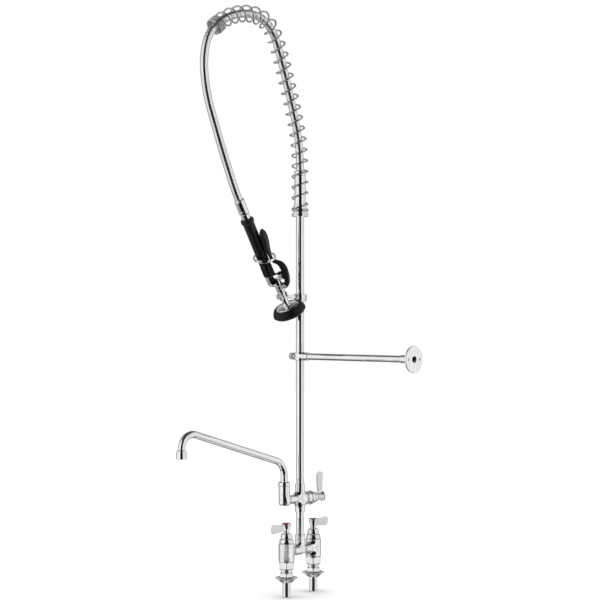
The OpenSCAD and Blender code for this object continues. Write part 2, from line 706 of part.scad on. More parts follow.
// ---------------------------------------------------------------- wall bracket
module bracket_clamp() {
    color(CHROME) at_bracket() difference() {
        union() {
            rod(clamp_r, -clamp_h / 2, clamp_h / 2);
            along_x() rod(clamp_h / 2, 0, bracket_socket[1]);
            rotate([0, -90, 0]) rod(7, 0, 15);
        }
        rod(riser_r + RUN, -clamp_h, clamp_h);
        along_x() rod(bracket_tube_r, bracket_tube_from, bracket_socket[1] + 1);
        rotate([0, -90, 0]) rod(bracket_screw_r + RUN, 0, 20);
    }
}
module bracket_tube() {
    color(CHROME) at_bracket() along_x()
        tube(bracket_tube_r, bracket_tube_r - 1.2, bracket_tube_from, bracket_reach - wall_plate_t);
}
module wall_flange() {
    color(CHROME) at_bracket() along_x() difference() {
        union() {
            rod(wall_collar_r, bracket_reach - wall_collar_l, bracket_reach - 1);
            rod(wall_flange_r, bracket_reach - wall_plate_t, bracket_reach);
        }
        rod(bracket_tube_r, bracket_reach - wall_collar_l - 1, bracket_reach - wall_plate_t);
        rod(bracket_tube_r - 0.4, bracket_reach - wall_plate_t - 1, bracket_reach + 1);
        for (side = [-1, 1]) translate([0, side * wall_hole_pcd / 2, bracket_reach - 10])
            cylinder(r = wall_hole_r, h = 12);
    }
}
module bracket_screw() {
    color(STEEL) at_bracket() rotate([0, -90, 0]) union() {
        rod(bracket_screw_r, bracket_screw_x[0] + 0.1, bracket_screw_x[1] - 6);
        rod(7.5, bracket_screw_x[1] - 11.5, bracket_screw_x[1]);
    }
}

// ---------------------------------------------------------------- spray valve
module hose_ferrule() {
    color(CHROME) grip_axis() difference() {
        union() {
            cone(ferrule_r - 1.5, ferrule_r, ferrule_v[0], ferrule_v[0] + 3);
            rod(ferrule_r, ferrule_v[0] + 3, ferrule_v[1] - 2);
            cone(ferrule_r, ferrule_r - 1, ferrule_v[1] - 2, ferrule_v[1]);
        }
        rod(hose_bore_r, ferrule_v[0] - 1, ferrule_v[1] + 1);
    }
}
module hose_nut() { color(CHROME) grip_axis() tube(hose_nut_r, handle_tube_r, hose_nut_v[0], hose_nut_v[1]); }
module handle_tube() {
    color(STEEL) grip_axis() tube(handle_tube_r, hose_bore_r, handle_tube_v[0], handle_tube_v[1]);
}
module grip() {
    top = grip_v[1];
    color(RUBBER) grip_axis() difference() {
        spin([[0, grip_v[0]], [grip_r, grip_v[0]], [grip_r, top - grip_rim_h - 2],
            [grip_rim_r - 0.8, top - grip_rim_h], [grip_rim_r, top - grip_rim_h + 2],
            [grip_rim_r, top - 2], [grip_rim_r - 1.4, top], [0, top]]);
        rod(handle_tube_r, grip_v[0] - 1, top + 1);
    }
}
module grip_cap() {
    color(RUBBER) grip_axis() difference() {
        rod(cap_r, cap_v[0], cap_v[1]);
        rod(handle_tube_r, cap_v[0] - 1, cap_v[1] + 1);
        for (i = [0 : cap_ribs - 1]) rotate([0, 0, i * 360 / cap_ribs])
            translate([cap_r - 0.8, -0.7, cap_v[0] - 1]) cube([3, 1.4, 24]);
    }
}
module spray_body() {
    color(CHROME) head() difference() {
        union() {
            rod(neck_r, neck_v[0], neck_v[1]);
            cone(8.6, neck_r, 18, 23);
            rod(band_r, band_v[0], band_v[1]);
            rod(trunk_r, band_v[1] - 1, trunk_top - 3);
            cone(trunk_r, trunk_r - 3, trunk_top - 3, trunk_top);
            translate([grip_x, 0, 0]) rod(valve_bowl_r, valve_bowl_v[0], valve_bowl_v[1]);
            translate([grip_x, 0, valve_bowl_v[0]]) sphere(r = valve_bowl_r);
            translate([0, 0, valve_v]) along_x() rod(housing_r, -4, packing_x[0]);
            for (side = [-1, 1]) translate([pivot[0], side * ear_mid, pivot[1]]) rotate([90, 0, 0])
                cylinder(r = ear_r, h = ear_t, center = true);
            for (side = [-1, 1]) translate([0, side * ear_mid - ear_t / 2, pivot[1] - ear_r])
                cube([pivot[0], ear_t, 2 * ear_r]);
        }
        translate([grip_x, 0, 0]) rod(hose_bore_r, valve_v, valve_bowl_v[1] + 1);
        translate([grip_x, 0, 0]) rod(cap_r + 0.1, valve_bowl_v[1], valve_v + housing_r + 1);
        translate([0, 0, valve_v]) along_x() rod(poppet_bore_r, poppet_bore_end, seat_x[0]);
        translate([0, 0, valve_v]) along_x() rod(seat_r, seat_x[0] - 1, seat_x[1] + 1);
        translate([0, 0, valve_v]) along_x() rod(passage_r, seat_x[1], packing_x[0] + 1);
        rod(spray_way_r, neck_v[0] - 1, valve_v);
        translate([pivot[0], 0, pivot[1]]) rotate([90, 0, 0]) cylinder(r = pin_r, h = 40, center = true);
    }
}
module spray_bonnet() {
    color(CHROME) head() translate([0, 0, valve_v]) along_x() difference() {
        union() {
            rod(passage_r, 4, packing_x[0]);
            translate([0, 0, packing_x[0]]) rotate([0, 0, 30])
                cylinder(r = packing_r, h = packing_x[1] - packing_x[0], $fn = 6);
        }
        rod(plunger_r + RUN, 3, packing_x[1] + 1);
    }
}
module spray_plunger() {
    color(STEEL) head() translate([0, 0, valve_v]) along_x() union() {
        rod(poppet_r, poppet_x[0], poppet_x[1]);
        rod(plunger_r, poppet_x[1] - 1, plunger_tip - 2);
        rod(3, plunger_tip - 3, plunger_tip);
    }
}
module valve_spring() {
    turns = 4;
    coil_r = 4;
    wire_r = 0.55;
    length = pressed_spring[1] - pressed_spring[0] - 2 * wire_r;
    count = turns * TURN_STEPS;
    path = [for (i = [0 : count]) [coil_r * cos(360 * i / TURN_STEPS), coil_r * sin(360 * i / TURN_STEPS),
        pressed_spring[0] + wire_r + length * i / count]];
    rings = [for (i = [0 : count]) let (d = unit(path[min(count, i + 1)] - path[max(0, i - 1)]))
        ring(path[i], d, wire_r, WIRE_SIDES, [path[i][0], path[i][1], 0])];
    color(STEEL) head() translate([0, 0, valve_v]) along_x() skin(rings, WIRE_SIDES);
}
// an outline in the trigger's plane, as thick as width
module side_on(width, outline) {
    translate([0, width / 2, 0]) rotate([90, 0, 0]) linear_extrude(height = width) polygon(outline);
}
module blade_outline(inset) {
    rotate([90, 0, 90]) linear_extrude(height = 30) offset(delta = -inset) polygon(BLADE_FRONT);
}
module trigger() {
    color(RUBBER) head() difference() {
        union() {
            side_on(trigger_w, TRIGGER);
            intersection() {
                side_on(3 * trigger_w, BLADE_SIDE);
                difference() {
                    blade_outline(0);
                    blade_outline(blade_side_t);
                }
            }
            intersection() {
                side_on(3 * trigger_w, TRIGGER);
                blade_outline(0);
            }
            translate([pivot[0], 0, pivot[1]]) rotate([90, 0, 0])
                cylinder(r = trigger_eye_r, h = trigger_w, center = true);
        }
        side_on(trigger_w - 2 * trigger_wall_t, TRIGGER_SLOT);
        translate([pivot[0], 0, pivot[1]]) rotate([90, 0, 0])
            cylinder(r = pin_r + RUN, h = 30, center = true);
    }
}
module trigger_pin() {
    color(STEEL) head() translate([pivot[0], 0, pivot[1]]) rotate([90, 0, 0])
        cylinder(r = pin_r, h = 2 * ear_y[1], center = true);
}
module hold_ring() {
    color(CHROME) head() translate([ring_at[0], 0, ring_at[1]]) rotate([0, ring_lean, 0])
        rotate_extrude() translate([ring_r, 0]) square([ring_t, ring_h], center = true);
}
module spray_face() {
    color(CHROME) head() difference() {
        spin([[0, 4], [face_r, 4], [face_r, 13], [face_r - 1, 14.2], [face_r - 6, 15.4], [10, 17],
            [8.6, 18], [0, 18]]);
        rod(neck_r, neck_v[0], 19);
        spin([[face_boss_r, 3], [face_plate_r, 3], [face_plate_r, 9], [face_boss_r, 9]]);
        for (a = [30 : 60 : 330]) rotate([0, 0, a]) translate([2.4, -1.2, 5.3]) cube([face_boss_r, 2.4, 2.4]);
        rod(spray_way_r, face_way_end, neck_v[0] + 1);
        rod(screw_r, 3, face_way_end + 1);
    }
}
module face_plate() {
    color(STEEL) head() difference() {
        rod(face_plate_r, 1.5, 4);
        rod(screw_r, 1, 5);
        for (a = [0 : 36 : 324]) rotate([0, 0, a]) translate([18, 0, 0]) cylinder(r = 1, h = 5);
        for (a = [30 : 60 : 330]) rotate([0, 0, a]) translate([11, 0, 0]) cylinder(r = 1, h = 5);
    }
}
module face_screw() {
    color(STEEL) head() difference() {
        union() {
            rod(screw_r, 1.5, face_way_end);
            rod(screw_head_r, -0.5, 1.5);
        }
        translate([0, 0, -1]) cylinder(r = 1.6, h = 1.6, $fn = 6);
    }
}
module bumper() {
    color(RUBBER) head() difference() {
        spin([[0, -7], [bumper_r - 6, -7], [bumper_r - 4.6, -6], [bumper_r, -1.5], [bumper_r, 2],
            [bumper_r - 2.5, 8], [bumper_r - 5, 12.8], [bumper_r - 6.5, 14], [0, 14]]);
        rod(face_r, 1.5, 15);
        rod(face_plate_r - 1, -8, 3);
    }
}

base_body();
inlet_shanks();
coupling_nuts();
shank_washers();
lock_nuts();
deck_flanges();
valve_bonnets();
valve_seats();
seat_seals();
hot_stem();
hot_disc();
hot_handle();
hot_index();
hot_screw();
cold_stem();
cold_disc();
cold_handle();
cold_index();
cold_screw();
lower_nipple();
addon_body();
addon_bonnet();
addon_seat();
addon_stem();
addon_disc();
addon_handle();
addon_index();
addon_screw();
spout_tube();
spout_nut();
spout_orings();
spout_outlet();
outlet_screen();
riser_pipe();
spring_collar();
hose_cuff();
hose();
spring_guard();
hook();
hook_screw();
bracket_clamp();
bracket_tube();
wall_flange();
bracket_screw();
hose_ferrule();
hose_nut();
handle_tube();
grip();
grip_cap();
spray_body();
spray_bonnet();
spray_plunger();
valve_spring();
trigger();
trigger_pin();
hold_ring();
spray_face();
face_plate();
face_screw();
bumper();
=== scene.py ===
# Pre-rinse faucet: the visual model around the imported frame, its studio and its camera.
import json
import math

import bpy
import numpy as np
from mathutils import Matrix, Vector


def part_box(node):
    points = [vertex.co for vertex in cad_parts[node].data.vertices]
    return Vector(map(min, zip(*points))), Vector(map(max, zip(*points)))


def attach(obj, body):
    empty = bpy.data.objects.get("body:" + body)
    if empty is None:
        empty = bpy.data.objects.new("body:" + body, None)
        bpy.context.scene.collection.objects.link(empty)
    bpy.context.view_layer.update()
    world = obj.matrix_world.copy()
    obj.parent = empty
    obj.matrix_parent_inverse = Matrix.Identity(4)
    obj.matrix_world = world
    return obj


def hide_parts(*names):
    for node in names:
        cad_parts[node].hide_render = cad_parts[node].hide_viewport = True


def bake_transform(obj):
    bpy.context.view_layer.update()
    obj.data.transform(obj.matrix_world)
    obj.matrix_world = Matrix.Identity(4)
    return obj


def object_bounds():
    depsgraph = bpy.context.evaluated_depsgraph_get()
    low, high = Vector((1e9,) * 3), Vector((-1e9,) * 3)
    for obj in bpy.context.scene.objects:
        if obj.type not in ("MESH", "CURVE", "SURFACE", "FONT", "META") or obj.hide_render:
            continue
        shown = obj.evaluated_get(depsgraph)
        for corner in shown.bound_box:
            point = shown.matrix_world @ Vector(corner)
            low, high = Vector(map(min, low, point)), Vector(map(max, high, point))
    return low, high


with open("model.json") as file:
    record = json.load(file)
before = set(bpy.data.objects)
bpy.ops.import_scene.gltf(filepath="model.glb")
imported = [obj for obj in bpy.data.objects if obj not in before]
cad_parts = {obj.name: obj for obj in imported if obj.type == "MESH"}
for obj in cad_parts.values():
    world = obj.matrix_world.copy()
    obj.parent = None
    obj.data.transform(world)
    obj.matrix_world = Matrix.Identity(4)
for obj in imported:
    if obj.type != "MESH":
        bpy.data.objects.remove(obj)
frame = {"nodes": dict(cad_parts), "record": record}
cad_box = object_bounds()
MM = 0.001
JOINT = {j["name"]: j for j in frame["record"]["behaviour"]["joints"]}


# ------------------------ camera
CAMERA_YAW = -54.5
CAMERA_AWAY = Vector((-math.sin(math.radians(CAMERA_YAW)), math.cos(math.radians(CAMERA_YAW)), 0))
CAMERA_RIGHT = Vector((CAMERA_AWAY.y, -CAMERA_AWAY.x, 0))
CAMERA_DISTANCE = 3.93
CAMERA_HEIGHT = 0.615

camera = bpy.data.objects.new("camera", bpy.data.cameras.new("camera"))
camera.data.sensor_width = 36
camera.data.lens = 107.1
camera.data.clip_end = 50
camera.location = Vector((0, 0, CAMERA_HEIGHT)) - CAMERA_DISTANCE * CAMERA_AWAY
camera.rotation_euler = (math.pi / 2, 0, math.radians(CAMERA_YAW))
bpy.context.scene.collection.objects.link(camera)
bpy.context.scene.camera = camera


# ------------------------ frames of the sub-assemblies, in millimetres
def shift(x, y, z):
    return Matrix.Translation((x, y, z))


def turn(axis, degrees):
    return Matrix.Rotation(math.radians(degrees), 4, axis)


def frame_of(x_axis, z_axis, origin):
    x, z = Vector(x_axis).normalized(), Vector(z_axis).normalized()
    y = z.cross(x)
    m = Matrix((x, y, z)).transposed().to_4x4()
    m.translation = origin
    return m


def joint_point(name):
    return Vector(JOINT[name]["pos_m"]) / MM


X_CROSS = Vector(JOINT["addon_turn"]["axis"])
UPPER = frame_of(X_CROSS, (0, 0, 1), (0, 0, 0))
ARC = UPPER @ turn("Z", 180)
CROSS = UPPER @ shift(0, 0, joint_point("addon_turn").z) @ turn("Y", 90)
HUB = ARC @ shift((ARC.inverted() @ joint_point("spout_swing")).x, 0, 0)
BRACKET_OUT = -Vector(JOINT["bracket_screw_turn"]["axis"])
BRACKET = frame_of(BRACKET_OUT, (0, 0, 1), (0, 0, joint_point("bracket_swing").z))
HOOK = ARC @ shift(0, 0, joint_point("hook_screw_turn").z)
HOT = shift(joint_point("hot_turn").x, 0, 0)
COLD = shift(joint_point("cold_turn").x, 0, 0) @ turn("Z", 180)
# The trigger's pivot, in the spray valve's own x and z.
PIVOT = (16, 63)
HEAD_X = -Vector(JOINT["plunger_travel"]["axis"]).normalized()
HEAD_Z = Vector(JOINT["ring_slide"]["axis"]).normalized()
HEAD_ORIGIN = joint_point("trigger_squeeze") - PIVOT[0] * HEAD_X - PIVOT[1] * HEAD_Z
HEAD = frame_of(HEAD_X, HEAD_Z, HEAD_ORIGIN)
GRIP_OFFSET = (-11.2, 0, 0)
GRIP = HEAD @ shift(*GRIP_OFFSET)


# ------------------------ mesh helpers, all in millimetres
def build(name, verts, faces, at=Matrix.Identity(4), crease=40, normals=None):
    """A smooth object from local millimetres, creased where its faces meet at more than crease degrees."""
    mesh = bpy.data.meshes.new(name)
    co = np.asarray(verts, float)
    m = np.array(at)
    co = (co @ m[:3, :3].T + m[:3, 3]) * MM
    mesh.from_pydata(co.tolist(), [], [list(map(int, f)) for f in faces])
    mesh.validate()
    mesh.update()
    mesh.shade_smooth()
    if normals is not None:
        mesh.normals_split_custom_set_from_vertices((np.asarray(normals) @ m[:3, :3].T).tolist())
    elif crease:
        mesh.set_sharp_from_angle(angle=math.radians(crease))
    obj = bpy.data.objects.new(name, mesh)
    bpy.context.scene.collection.objects.link(obj)
    return obj


def rounded(profile, radius, closed=False, steps=3):
    """The profile with each corner turned into a small arc."""
    pts = [np.array(p, float) for p in profile]
    n = len(pts)
    out = []
    for i, p in enumerate(pts):
        if not closed and i in (0, n - 1):
            out.append(p)
            continue
        a, b = pts[i - 1] - p, pts[(i + 1) % n] - p
        la, lb = np.linalg.norm(a), np.linalg.norm(b)
        a, b = a / la, b / lb
        bend = math.pi - math.acos(max(-1.0, min(1.0, float(a @ b))))
        if bend < math.radians(12):
            out.append(p)
            continue
        reach = min(radius * math.tan(bend / 2), 0.45 * la, 0.45 * lb)
        p0, p1 = p + a * reach, p + b * reach
        for k in range(steps + 1):
            t = k / steps
            out.append((1 - t) ** 2 * p0 + 2 * t * (1 - t) * p + t * t * p1)
    return [tuple(p) for p in out]


def braced(points, closed, near=0.2):
    """Adds a point just inside both ends of every long side, so that corners don't bend its shading."""
    out = []
    for p, q in zip(points, points[1:] + points[:1] if closed else points[1:] + [None]):
        out.append(p)
        length = 0 if q is None else math.dist(p, q)
        if length > 8 * near:
            shares = (near / length, 1 - near / length)
            out += [tuple(a + (b - a) * t for a, b in zip(p, q)) for t in shares]
    return out


def lathe(name, profile, at, radius=0.4, sides=96, closed=False, shape=None, crease=40):
    """Turns (radius, height) points about z. shape(angles, r, z) may change the radius round the turn."""
    pts = braced(rounded(profile, radius, closed), closed)
    angles = np.linspace(0, 2 * math.pi, sides, endpoint=False)
    verts, rings = [], []
    for r, z in pts:
        if r < 1e-6:
            rings.append([len(verts)])
            verts.append((0, 0, z))
            continue
        rr = np.full(sides, r) if shape is None else shape(angles, r, z)
        start = len(verts)
        verts += list(zip(rr * np.cos(angles), rr * np.sin(angles), np.full(sides, z)))
        rings.append(range(start, start + sides))
    faces = []
    pairs = list(zip(rings, rings[1:])) + ([(rings[-1], rings[0])] if closed else [])
    for a, b in pairs:
        for k in range(sides):
            j = (k + 1) % sides
            if len(a) == 1 and len(b) == 1:
                break
            if len(a) == 1:
                faces.append((a[0], b[j], b[k]))
            elif len(b) == 1:
                faces.append((a[k], a[j], b[0]))
            else:
                faces.append((a[k], a[j], b[j], b[k]))
    return build(name, verts, faces, at, crease)


def between(a, b, c, d, f):
    """The point a share f of the way from b to c, on a smooth curve through all four."""
    return 0.5 * (2 * b + (c - a) * f + (2 * a - 5 * b + 4 * c - d) * f**2 + (3 * b - a - 3 * c + d) * f**3)


def spline(points, per_span):
    """A smooth curve through points."""
    p = np.asarray(points, float)
    p = np.vstack([2 * p[0] - p[1], p, 2 * p[-1] - p[-2]])
    out = []
    for i in range(1, len(p) - 2):
        out += [between(*p[i - 1:i + 3], k / per_span) for k in range(per_span)]
    out.append(p[-2])
    return np.array(out)


def even(path, step):
    """The path resampled at an even step."""
    seg = np.linalg.norm(np.diff(path, axis=0), axis=1)
    s = np.concatenate([[0], np.cumsum(seg)])
    n = max(2, int(round(s[-1] / step)))
    t = np.linspace(0, s[-1], n + 1)
    return np.stack([np.interp(t, s, path[:, i]) for i in range(3)], axis=1)


def sweep(name, path, radii, sides, at, side=(0, 1, 0), crease=50, inner=None):
    """A tube along a path, with one radius or one for each point, and closed ends. inner hollows it."""
    path = np.asarray(path, float)
    n = len(path)
    radii = np.full(n, float(radii)) if np.isscalar(radii) else np.asarray(radii, float)
    d = np.gradient(path, axis=0)
    d /= np.linalg.norm(d, axis=1)[:, None]
    u = np.zeros_like(path)
    u[0] = np.array(side) - np.dot(side, d[0]) * d[0]
    u[0] /= np.linalg.norm(u[0])
    for i in range(1, n):
        v = u[i - 1] - np.dot(u[i - 1], d[i]) * d[i]
        u[i] = v / np.linalg.norm(v)
    w = np.cross(d, u)
    a = np.linspace(0, 2 * math.pi, sides, endpoint=False)
    spokes = np.cos(a)[None, :, None] * u[:, None, :] + np.sin(a)[None, :, None] * w[:, None, :]
    rings = path[:, None, :] + radii[:, None, None] * spokes
    verts = rings.reshape(-1, 3)
    k = np.arange(sides)
    j = (k + 1) % sides
    faces = [(i * sides + x, i * sides + y, (i + 1) * sides + y, (i + 1) * sides + x)
             for i in range(n - 1) for x, y in zip(k, j)]
    if inner is None:
        faces += [tuple(range(sides))[::-1], tuple((n - 1) * sides + np.arange(sides))]
    else:
        off = len(verts)
        verts = np.vstack([verts, (path[:, None, :] + inner * spokes).reshape(-1, 3)])
        faces += [tuple(off + q for q in f[::-1]) for f in faces]
        last = (n - 1) * sides
        faces += [(y, x, off + x, off + y) for x, y in zip(k, j)]
        faces += [(last + x, last + y, off + last + y, off + last + x) for x, y in zip(k, j)]
    return build(name, verts, faces, at, crease)


# ------------------------ solid fields, for cast and moulded pieces
def local(p, at):
    """Points in the frame of at."""
    m = np.array(at.inverted())
    return p @ m[:3, :3].T + m[:3, 3]


def rod(p, r, z0, z1, edge=0.5, r1=None):
    """A rod or cone about z, with rounded ends."""
    radial = np.hypot(p[..., 0], p[..., 1])
    if r1 is None:
        q0 = radial - r
    else:
        slope = (r1 - r) / (z1 - z0)
        q0 = (radial - (r + slope * (p[..., 2] - z0))) / math.hypot(1, slope)
    q1 = np.abs(p[..., 2] - (z0 + z1) / 2) - (z1 - z0) / 2
    q0, q1 = q0 + edge, q1 + edge
    return np.minimum(np.maximum(q0, q1), 0) + np.hypot(np.maximum(q0, 0), np.maximum(q1, 0)) - edge


def slab(p, low, high, edge=0.5):
    """A box with rounded edges."""
    low, high = np.array(low, float), np.array(high, float)
    q = np.abs(p - (low + high) / 2) - (high - low) / 2 + edge
    return np.minimum(q.max(-1), 0) + np.linalg.norm(np.maximum(q, 0), axis=-1) - edge


def ball(p, r):
    return np.linalg.norm(p, axis=-1) - r


def join(a, b, k=1.0):
    """Two fields as one, with a fillet about k wide where they meet."""
    h = np.maximum(k - np.abs(a - b), 0) / k
    return np.minimum(a, b) - h * h * k / 4


def cut(a, b, k=0.5):
    """Field a without field b."""
    return -join(-a, b, k)


CORNERS = [(i, j, k) for i in (0, 1) for j in (0, 1) for k in (0, 1)]


def cast(name, field, low, high, step, at=Matrix.Identity(4)):
    """The surface where a field is zero: an even mesh drawn onto it, with the field's own normals."""
    ax = [np.arange(low[i] - 2 * step, high[i] + 3 * step, step) for i in range(3)]
    grid = np.stack(np.meshgrid(*ax, indexing="ij"), -1)
    f = field(grid)
    n = np.array(f.shape)

    def corner(c):
        return tuple(slice(c[i], n[i] - 1 + c[i]) for i in range(3))

    count = sum((f[corner(c)] < 0).astype(int) for c in CORNERS)
    active = (count > 0) & (count < 8)
    index = np.full(active.shape, -1)
    index[active] = np.arange(active.sum())
    cells = np.argwhere(active)
    total, weight = np.zeros((len(cells), 3)), np.zeros(len(cells))
    for a in CORNERS:
        for i in range(3):
            if a[i]:
                continue
            b = tuple(1 if m == i else a[m] for m in range(3))
            fa, fb = f[tuple((cells + a).T)], f[tuple((cells + b).T)]
            hit = (fa < 0) != (fb < 0)
            t = np.where(hit, fa / np.where(hit, fa - fb, 1), 0)
            p = cells + np.array(a) + t[:, None] * (np.array(b) - np.array(a))
            total[hit] += p[hit]
            weight[hit] += 1
    verts = np.array([ax[i][0] for i in range(3)]) + step * total / weight[:, None]

    def slope(p):
        h = 0.02
        return np.stack([(field(p + h * e) - field(p - h * e)) / (2 * h) for e in np.eye(3)], -1)

    for _ in range(4):
        g = slope(verts)
        move = field(verts)[:, None] * g / np.maximum((g * g).sum(1), 0.2)[:, None]
        verts = verts - np.clip(move, -0.5 * step, 0.5 * step)
    faces = []
    inside = f < 0
    for i in range(3):
        j, k = (i + 1) % 3, (i + 2) % 3
        lo = [slice(None)] * 3
        hi = [slice(None)] * 3
        lo[i], hi[i] = slice(0, -1), slice(1, None)
        a, b = inside[tuple(lo)], inside[tuple(hi)]
        edges = np.argwhere(a != b)
        edges = edges[(edges[:, j] > 0) & (edges[:, k] > 0)]
        ej, ek = np.eye(3, dtype=int)[j], np.eye(3, dtype=int)[k]
        ring = [index[tuple((edges - o).T)] for o in (ej + ek, ek, 0 * ej, ej)]
        out = a[tuple(edges.T)]
        quad = np.stack(ring, 1)
        quad[~out] = quad[~out][:, ::-1]
        faces.append(quad)
    g = slope(verts)
    g /= np.maximum(np.linalg.norm(g, axis=1), 1e-9)[:, None]
    return build(name, verts, np.vstack(faces), at, crease=None, normals=g)


# ------------------------ materials
def node(tree, kind, **settings):
    n = tree.nodes.new(kind)
    for key, value in settings.items():
        setattr(n, key, value)
    return n


def noise(tree, scale, detail=3.0, stretch=None):
    """Noise in the object's own metres, scale being cells per metre."""
    where = node(tree, "ShaderNodeTexCoord").outputs["Object"]
    if stretch is not None:
        m = node(tree, "ShaderNodeMapping")
        m.inputs["Scale"].default_value = stretch
        tree.links.new(where, m.inputs["Vector"])
        where = m.outputs["Vector"]
    n = node(tree, "ShaderNodeTexNoise")
    n.inputs["Scale"].default_value = scale
    n.inputs["Detail"].default_value = detail
    tree.links.new(where, n.inputs["Vector"])
    return n.outputs["Fac"]


def ranged(tree, value, low, high):
    m = node(tree, "ShaderNodeMapRange")
    m.inputs["From Min"].default_value = 0.3
    m.inputs["From Max"].default_value = 0.7
    m.inputs["To Min"].default_value = low
    m.inputs["To Max"].default_value = high
    tree.links.new(value, m.inputs["Value"])
    return m.outputs["Result"]


def material(name, dark, light, rough, metallic=0.0, tone=60, smudge=90, grain=None, coat=None,
             stretch=None, specular=0.5):
    """dark and light are the ends of the colour and rough those of the roughness. grain is its cells per
    metre, its height and, where it isn't the usual one, its strength."""
    mat = bpy.data.materials.new(name)
    mat.use_nodes = True
    tree = mat.node_tree
    shader = tree.nodes["Principled BSDF"]
    shader.inputs["Metallic"].default_value = metallic
    mix = node(tree, "ShaderNodeMix", data_type="RGBA")
    mix.inputs[6].default_value = (*dark, 1)
    mix.inputs[7].default_value = (*light, 1)
    tree.links.new(ranged(tree, noise(tree, tone, stretch=stretch), 0, 1), mix.inputs["Factor"])
    tree.links.new(mix.outputs[2], shader.inputs["Base Color"])
    tree.links.new(ranged(tree, noise(tree, smudge, 4, stretch), *rough), shader.inputs["Roughness"])
    if grain:
        bump = node(tree, "ShaderNodeBump")
        bump.inputs["Strength"].default_value = grain[2] if len(grain) > 2 else 0.4
        bump.inputs["Distance"].default_value = grain[1]
        tree.links.new(noise(tree, grain[0], 2, stretch), bump.inputs["Height"])
        tree.links.new(bump.outputs["Normal"], shader.inputs["Normal"])
    if coat:
        shader.inputs["Coat Weight"].default_value = coat
        shader.inputs["Coat Roughness"].default_value = 0.06
    shader.inputs["Specular IOR Level"].default_value = specular
    return mat


CHROME = material("polished_chrome", (0.86, 0.87, 0.88), (0.93, 0.935, 0.94), (0.025, 0.07), 1,
                  grain=(45, 0.0002, 0.02))
CAST = material("chromed_casting", (0.84, 0.85, 0.86), (0.93, 0.935, 0.94), (0.03, 0.08), 1,
                grain=(70, 0.0003, 0.03))
SATIN = material("satin_lever", (0.66, 0.67, 0.68), (0.74, 0.745, 0.75), (0.26, 0.36), 0.25, tone=40,
                 smudge=120, grain=(1400, 0.00002, 0.1))
SPRING = material("spring_chrome", (0.52, 0.53, 0.54), (0.68, 0.68, 0.69), (0.04, 0.10), 1, tone=220,
                  grain=(900, 0.00003, 0.2))
HOSE = material("ribbed_steel", (0.80, 0.81, 0.82), (0.92, 0.92, 0.92), (0.05, 0.09), 1, tone=300,
                grain=(1200, 0.00004, 0.2))
STEEL = material("machined_steel", (0.52, 0.53, 0.54), (0.70, 0.71, 0.72), (0.22, 0.38), 1, tone=300,
                 smudge=900, grain=(1500, 0.00004, 0.3), stretch=(1, 1, 0.2))
BRASS = material("machined_brass", (0.62, 0.45, 0.18), (0.80, 0.62, 0.30), (0.18, 0.34), 1, tone=250,
                 grain=(900, 0.00005))
CERAMIC = material("lapped_ceramic", (0.80, 0.80, 0.77), (0.92, 0.92, 0.90), (0.15, 0.3), tone=400,
                   grain=(2000, 0.00002))
SEAL = material("seal_rubber", (0.010, 0.010, 0.011), (0.030, 0.030, 0.031), (0.45, 0.65), tone=300,
                grain=(1800, 0.00006))
GRIP_RUBBER = material("grip_rubber", (0.003, 0.003, 0.003), (0.007, 0.007, 0.008), (0.30, 0.40), tone=120,
                       smudge=300, grain=(1600, 0.00006, 0.15), specular=0.4)
BUMPER_RUBBER = material("bumper_rubber", (0.003, 0.003, 0.003), (0.007, 0.007, 0.008), (0.34, 0.46),
                         tone=90, smudge=260, grain=(1300, 0.00008, 0.15), specular=0.25)
PLASTIC = material("trigger_plastic", (0.003, 0.003, 0.003), (0.007, 0.007, 0.008), (0.24, 0.36), tone=150,
                   smudge=400, grain=(2200, 0.00004, 0.15), specular=0.2)
RED = material("red_index", (0.50, 0.012, 0.012), (0.72, 0.03, 0.025), (0.18, 0.32), tone=400,
               grain=(1500, 0.00003), coat=0.4)
BLUE = material("blue_index", (0.010, 0.030, 0.14), (0.02, 0.06, 0.26), (0.18, 0.32), tone=400,
                grain=(1500, 0.00003), coat=0.4)
GREY = material("grey_index", (0.55, 0.56, 0.58), (0.70, 0.71, 0.73), (0.18, 0.32), tone=400,
                grain=(1500, 0.00003), coat=0.4)
SLOT_MATERIAL = {"chrome": CHROME, "stainless": STEEL, "hose_steel": HOSE, "spring_steel": SPRING,
                 "brass": BRASS, "rubber": SEAL, "grip_rubber": GRIP_RUBBER, "black_plastic": PLASTIC,
                 "ceramic": CERAMIC, "red_plastic": RED, "blue_plastic": BLUE, "grey_plastic": GREY}
SLOT_OF = {s["node"]: s["material_slot"] for s in frame["record"]["subparts"]}
for cad_name, cad_object in frame["nodes"].items():
    cad_object.data.materials.clear()
    cad_object.data.materials.append(SLOT_MATERIAL[SLOT_OF[cad_name]])


def finish_piece(obj, mat, body, *nodes, slot="chrome"):
    """Gives a piece its material and its body, and hides the CAD nodes that it stands for. slot is not
    used.
    """
    obj.data.materials.clear()
    obj.data.materials.append(mat)
    if body:
        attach(obj, body)
    if nodes:
        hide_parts(*nodes)
    return obj


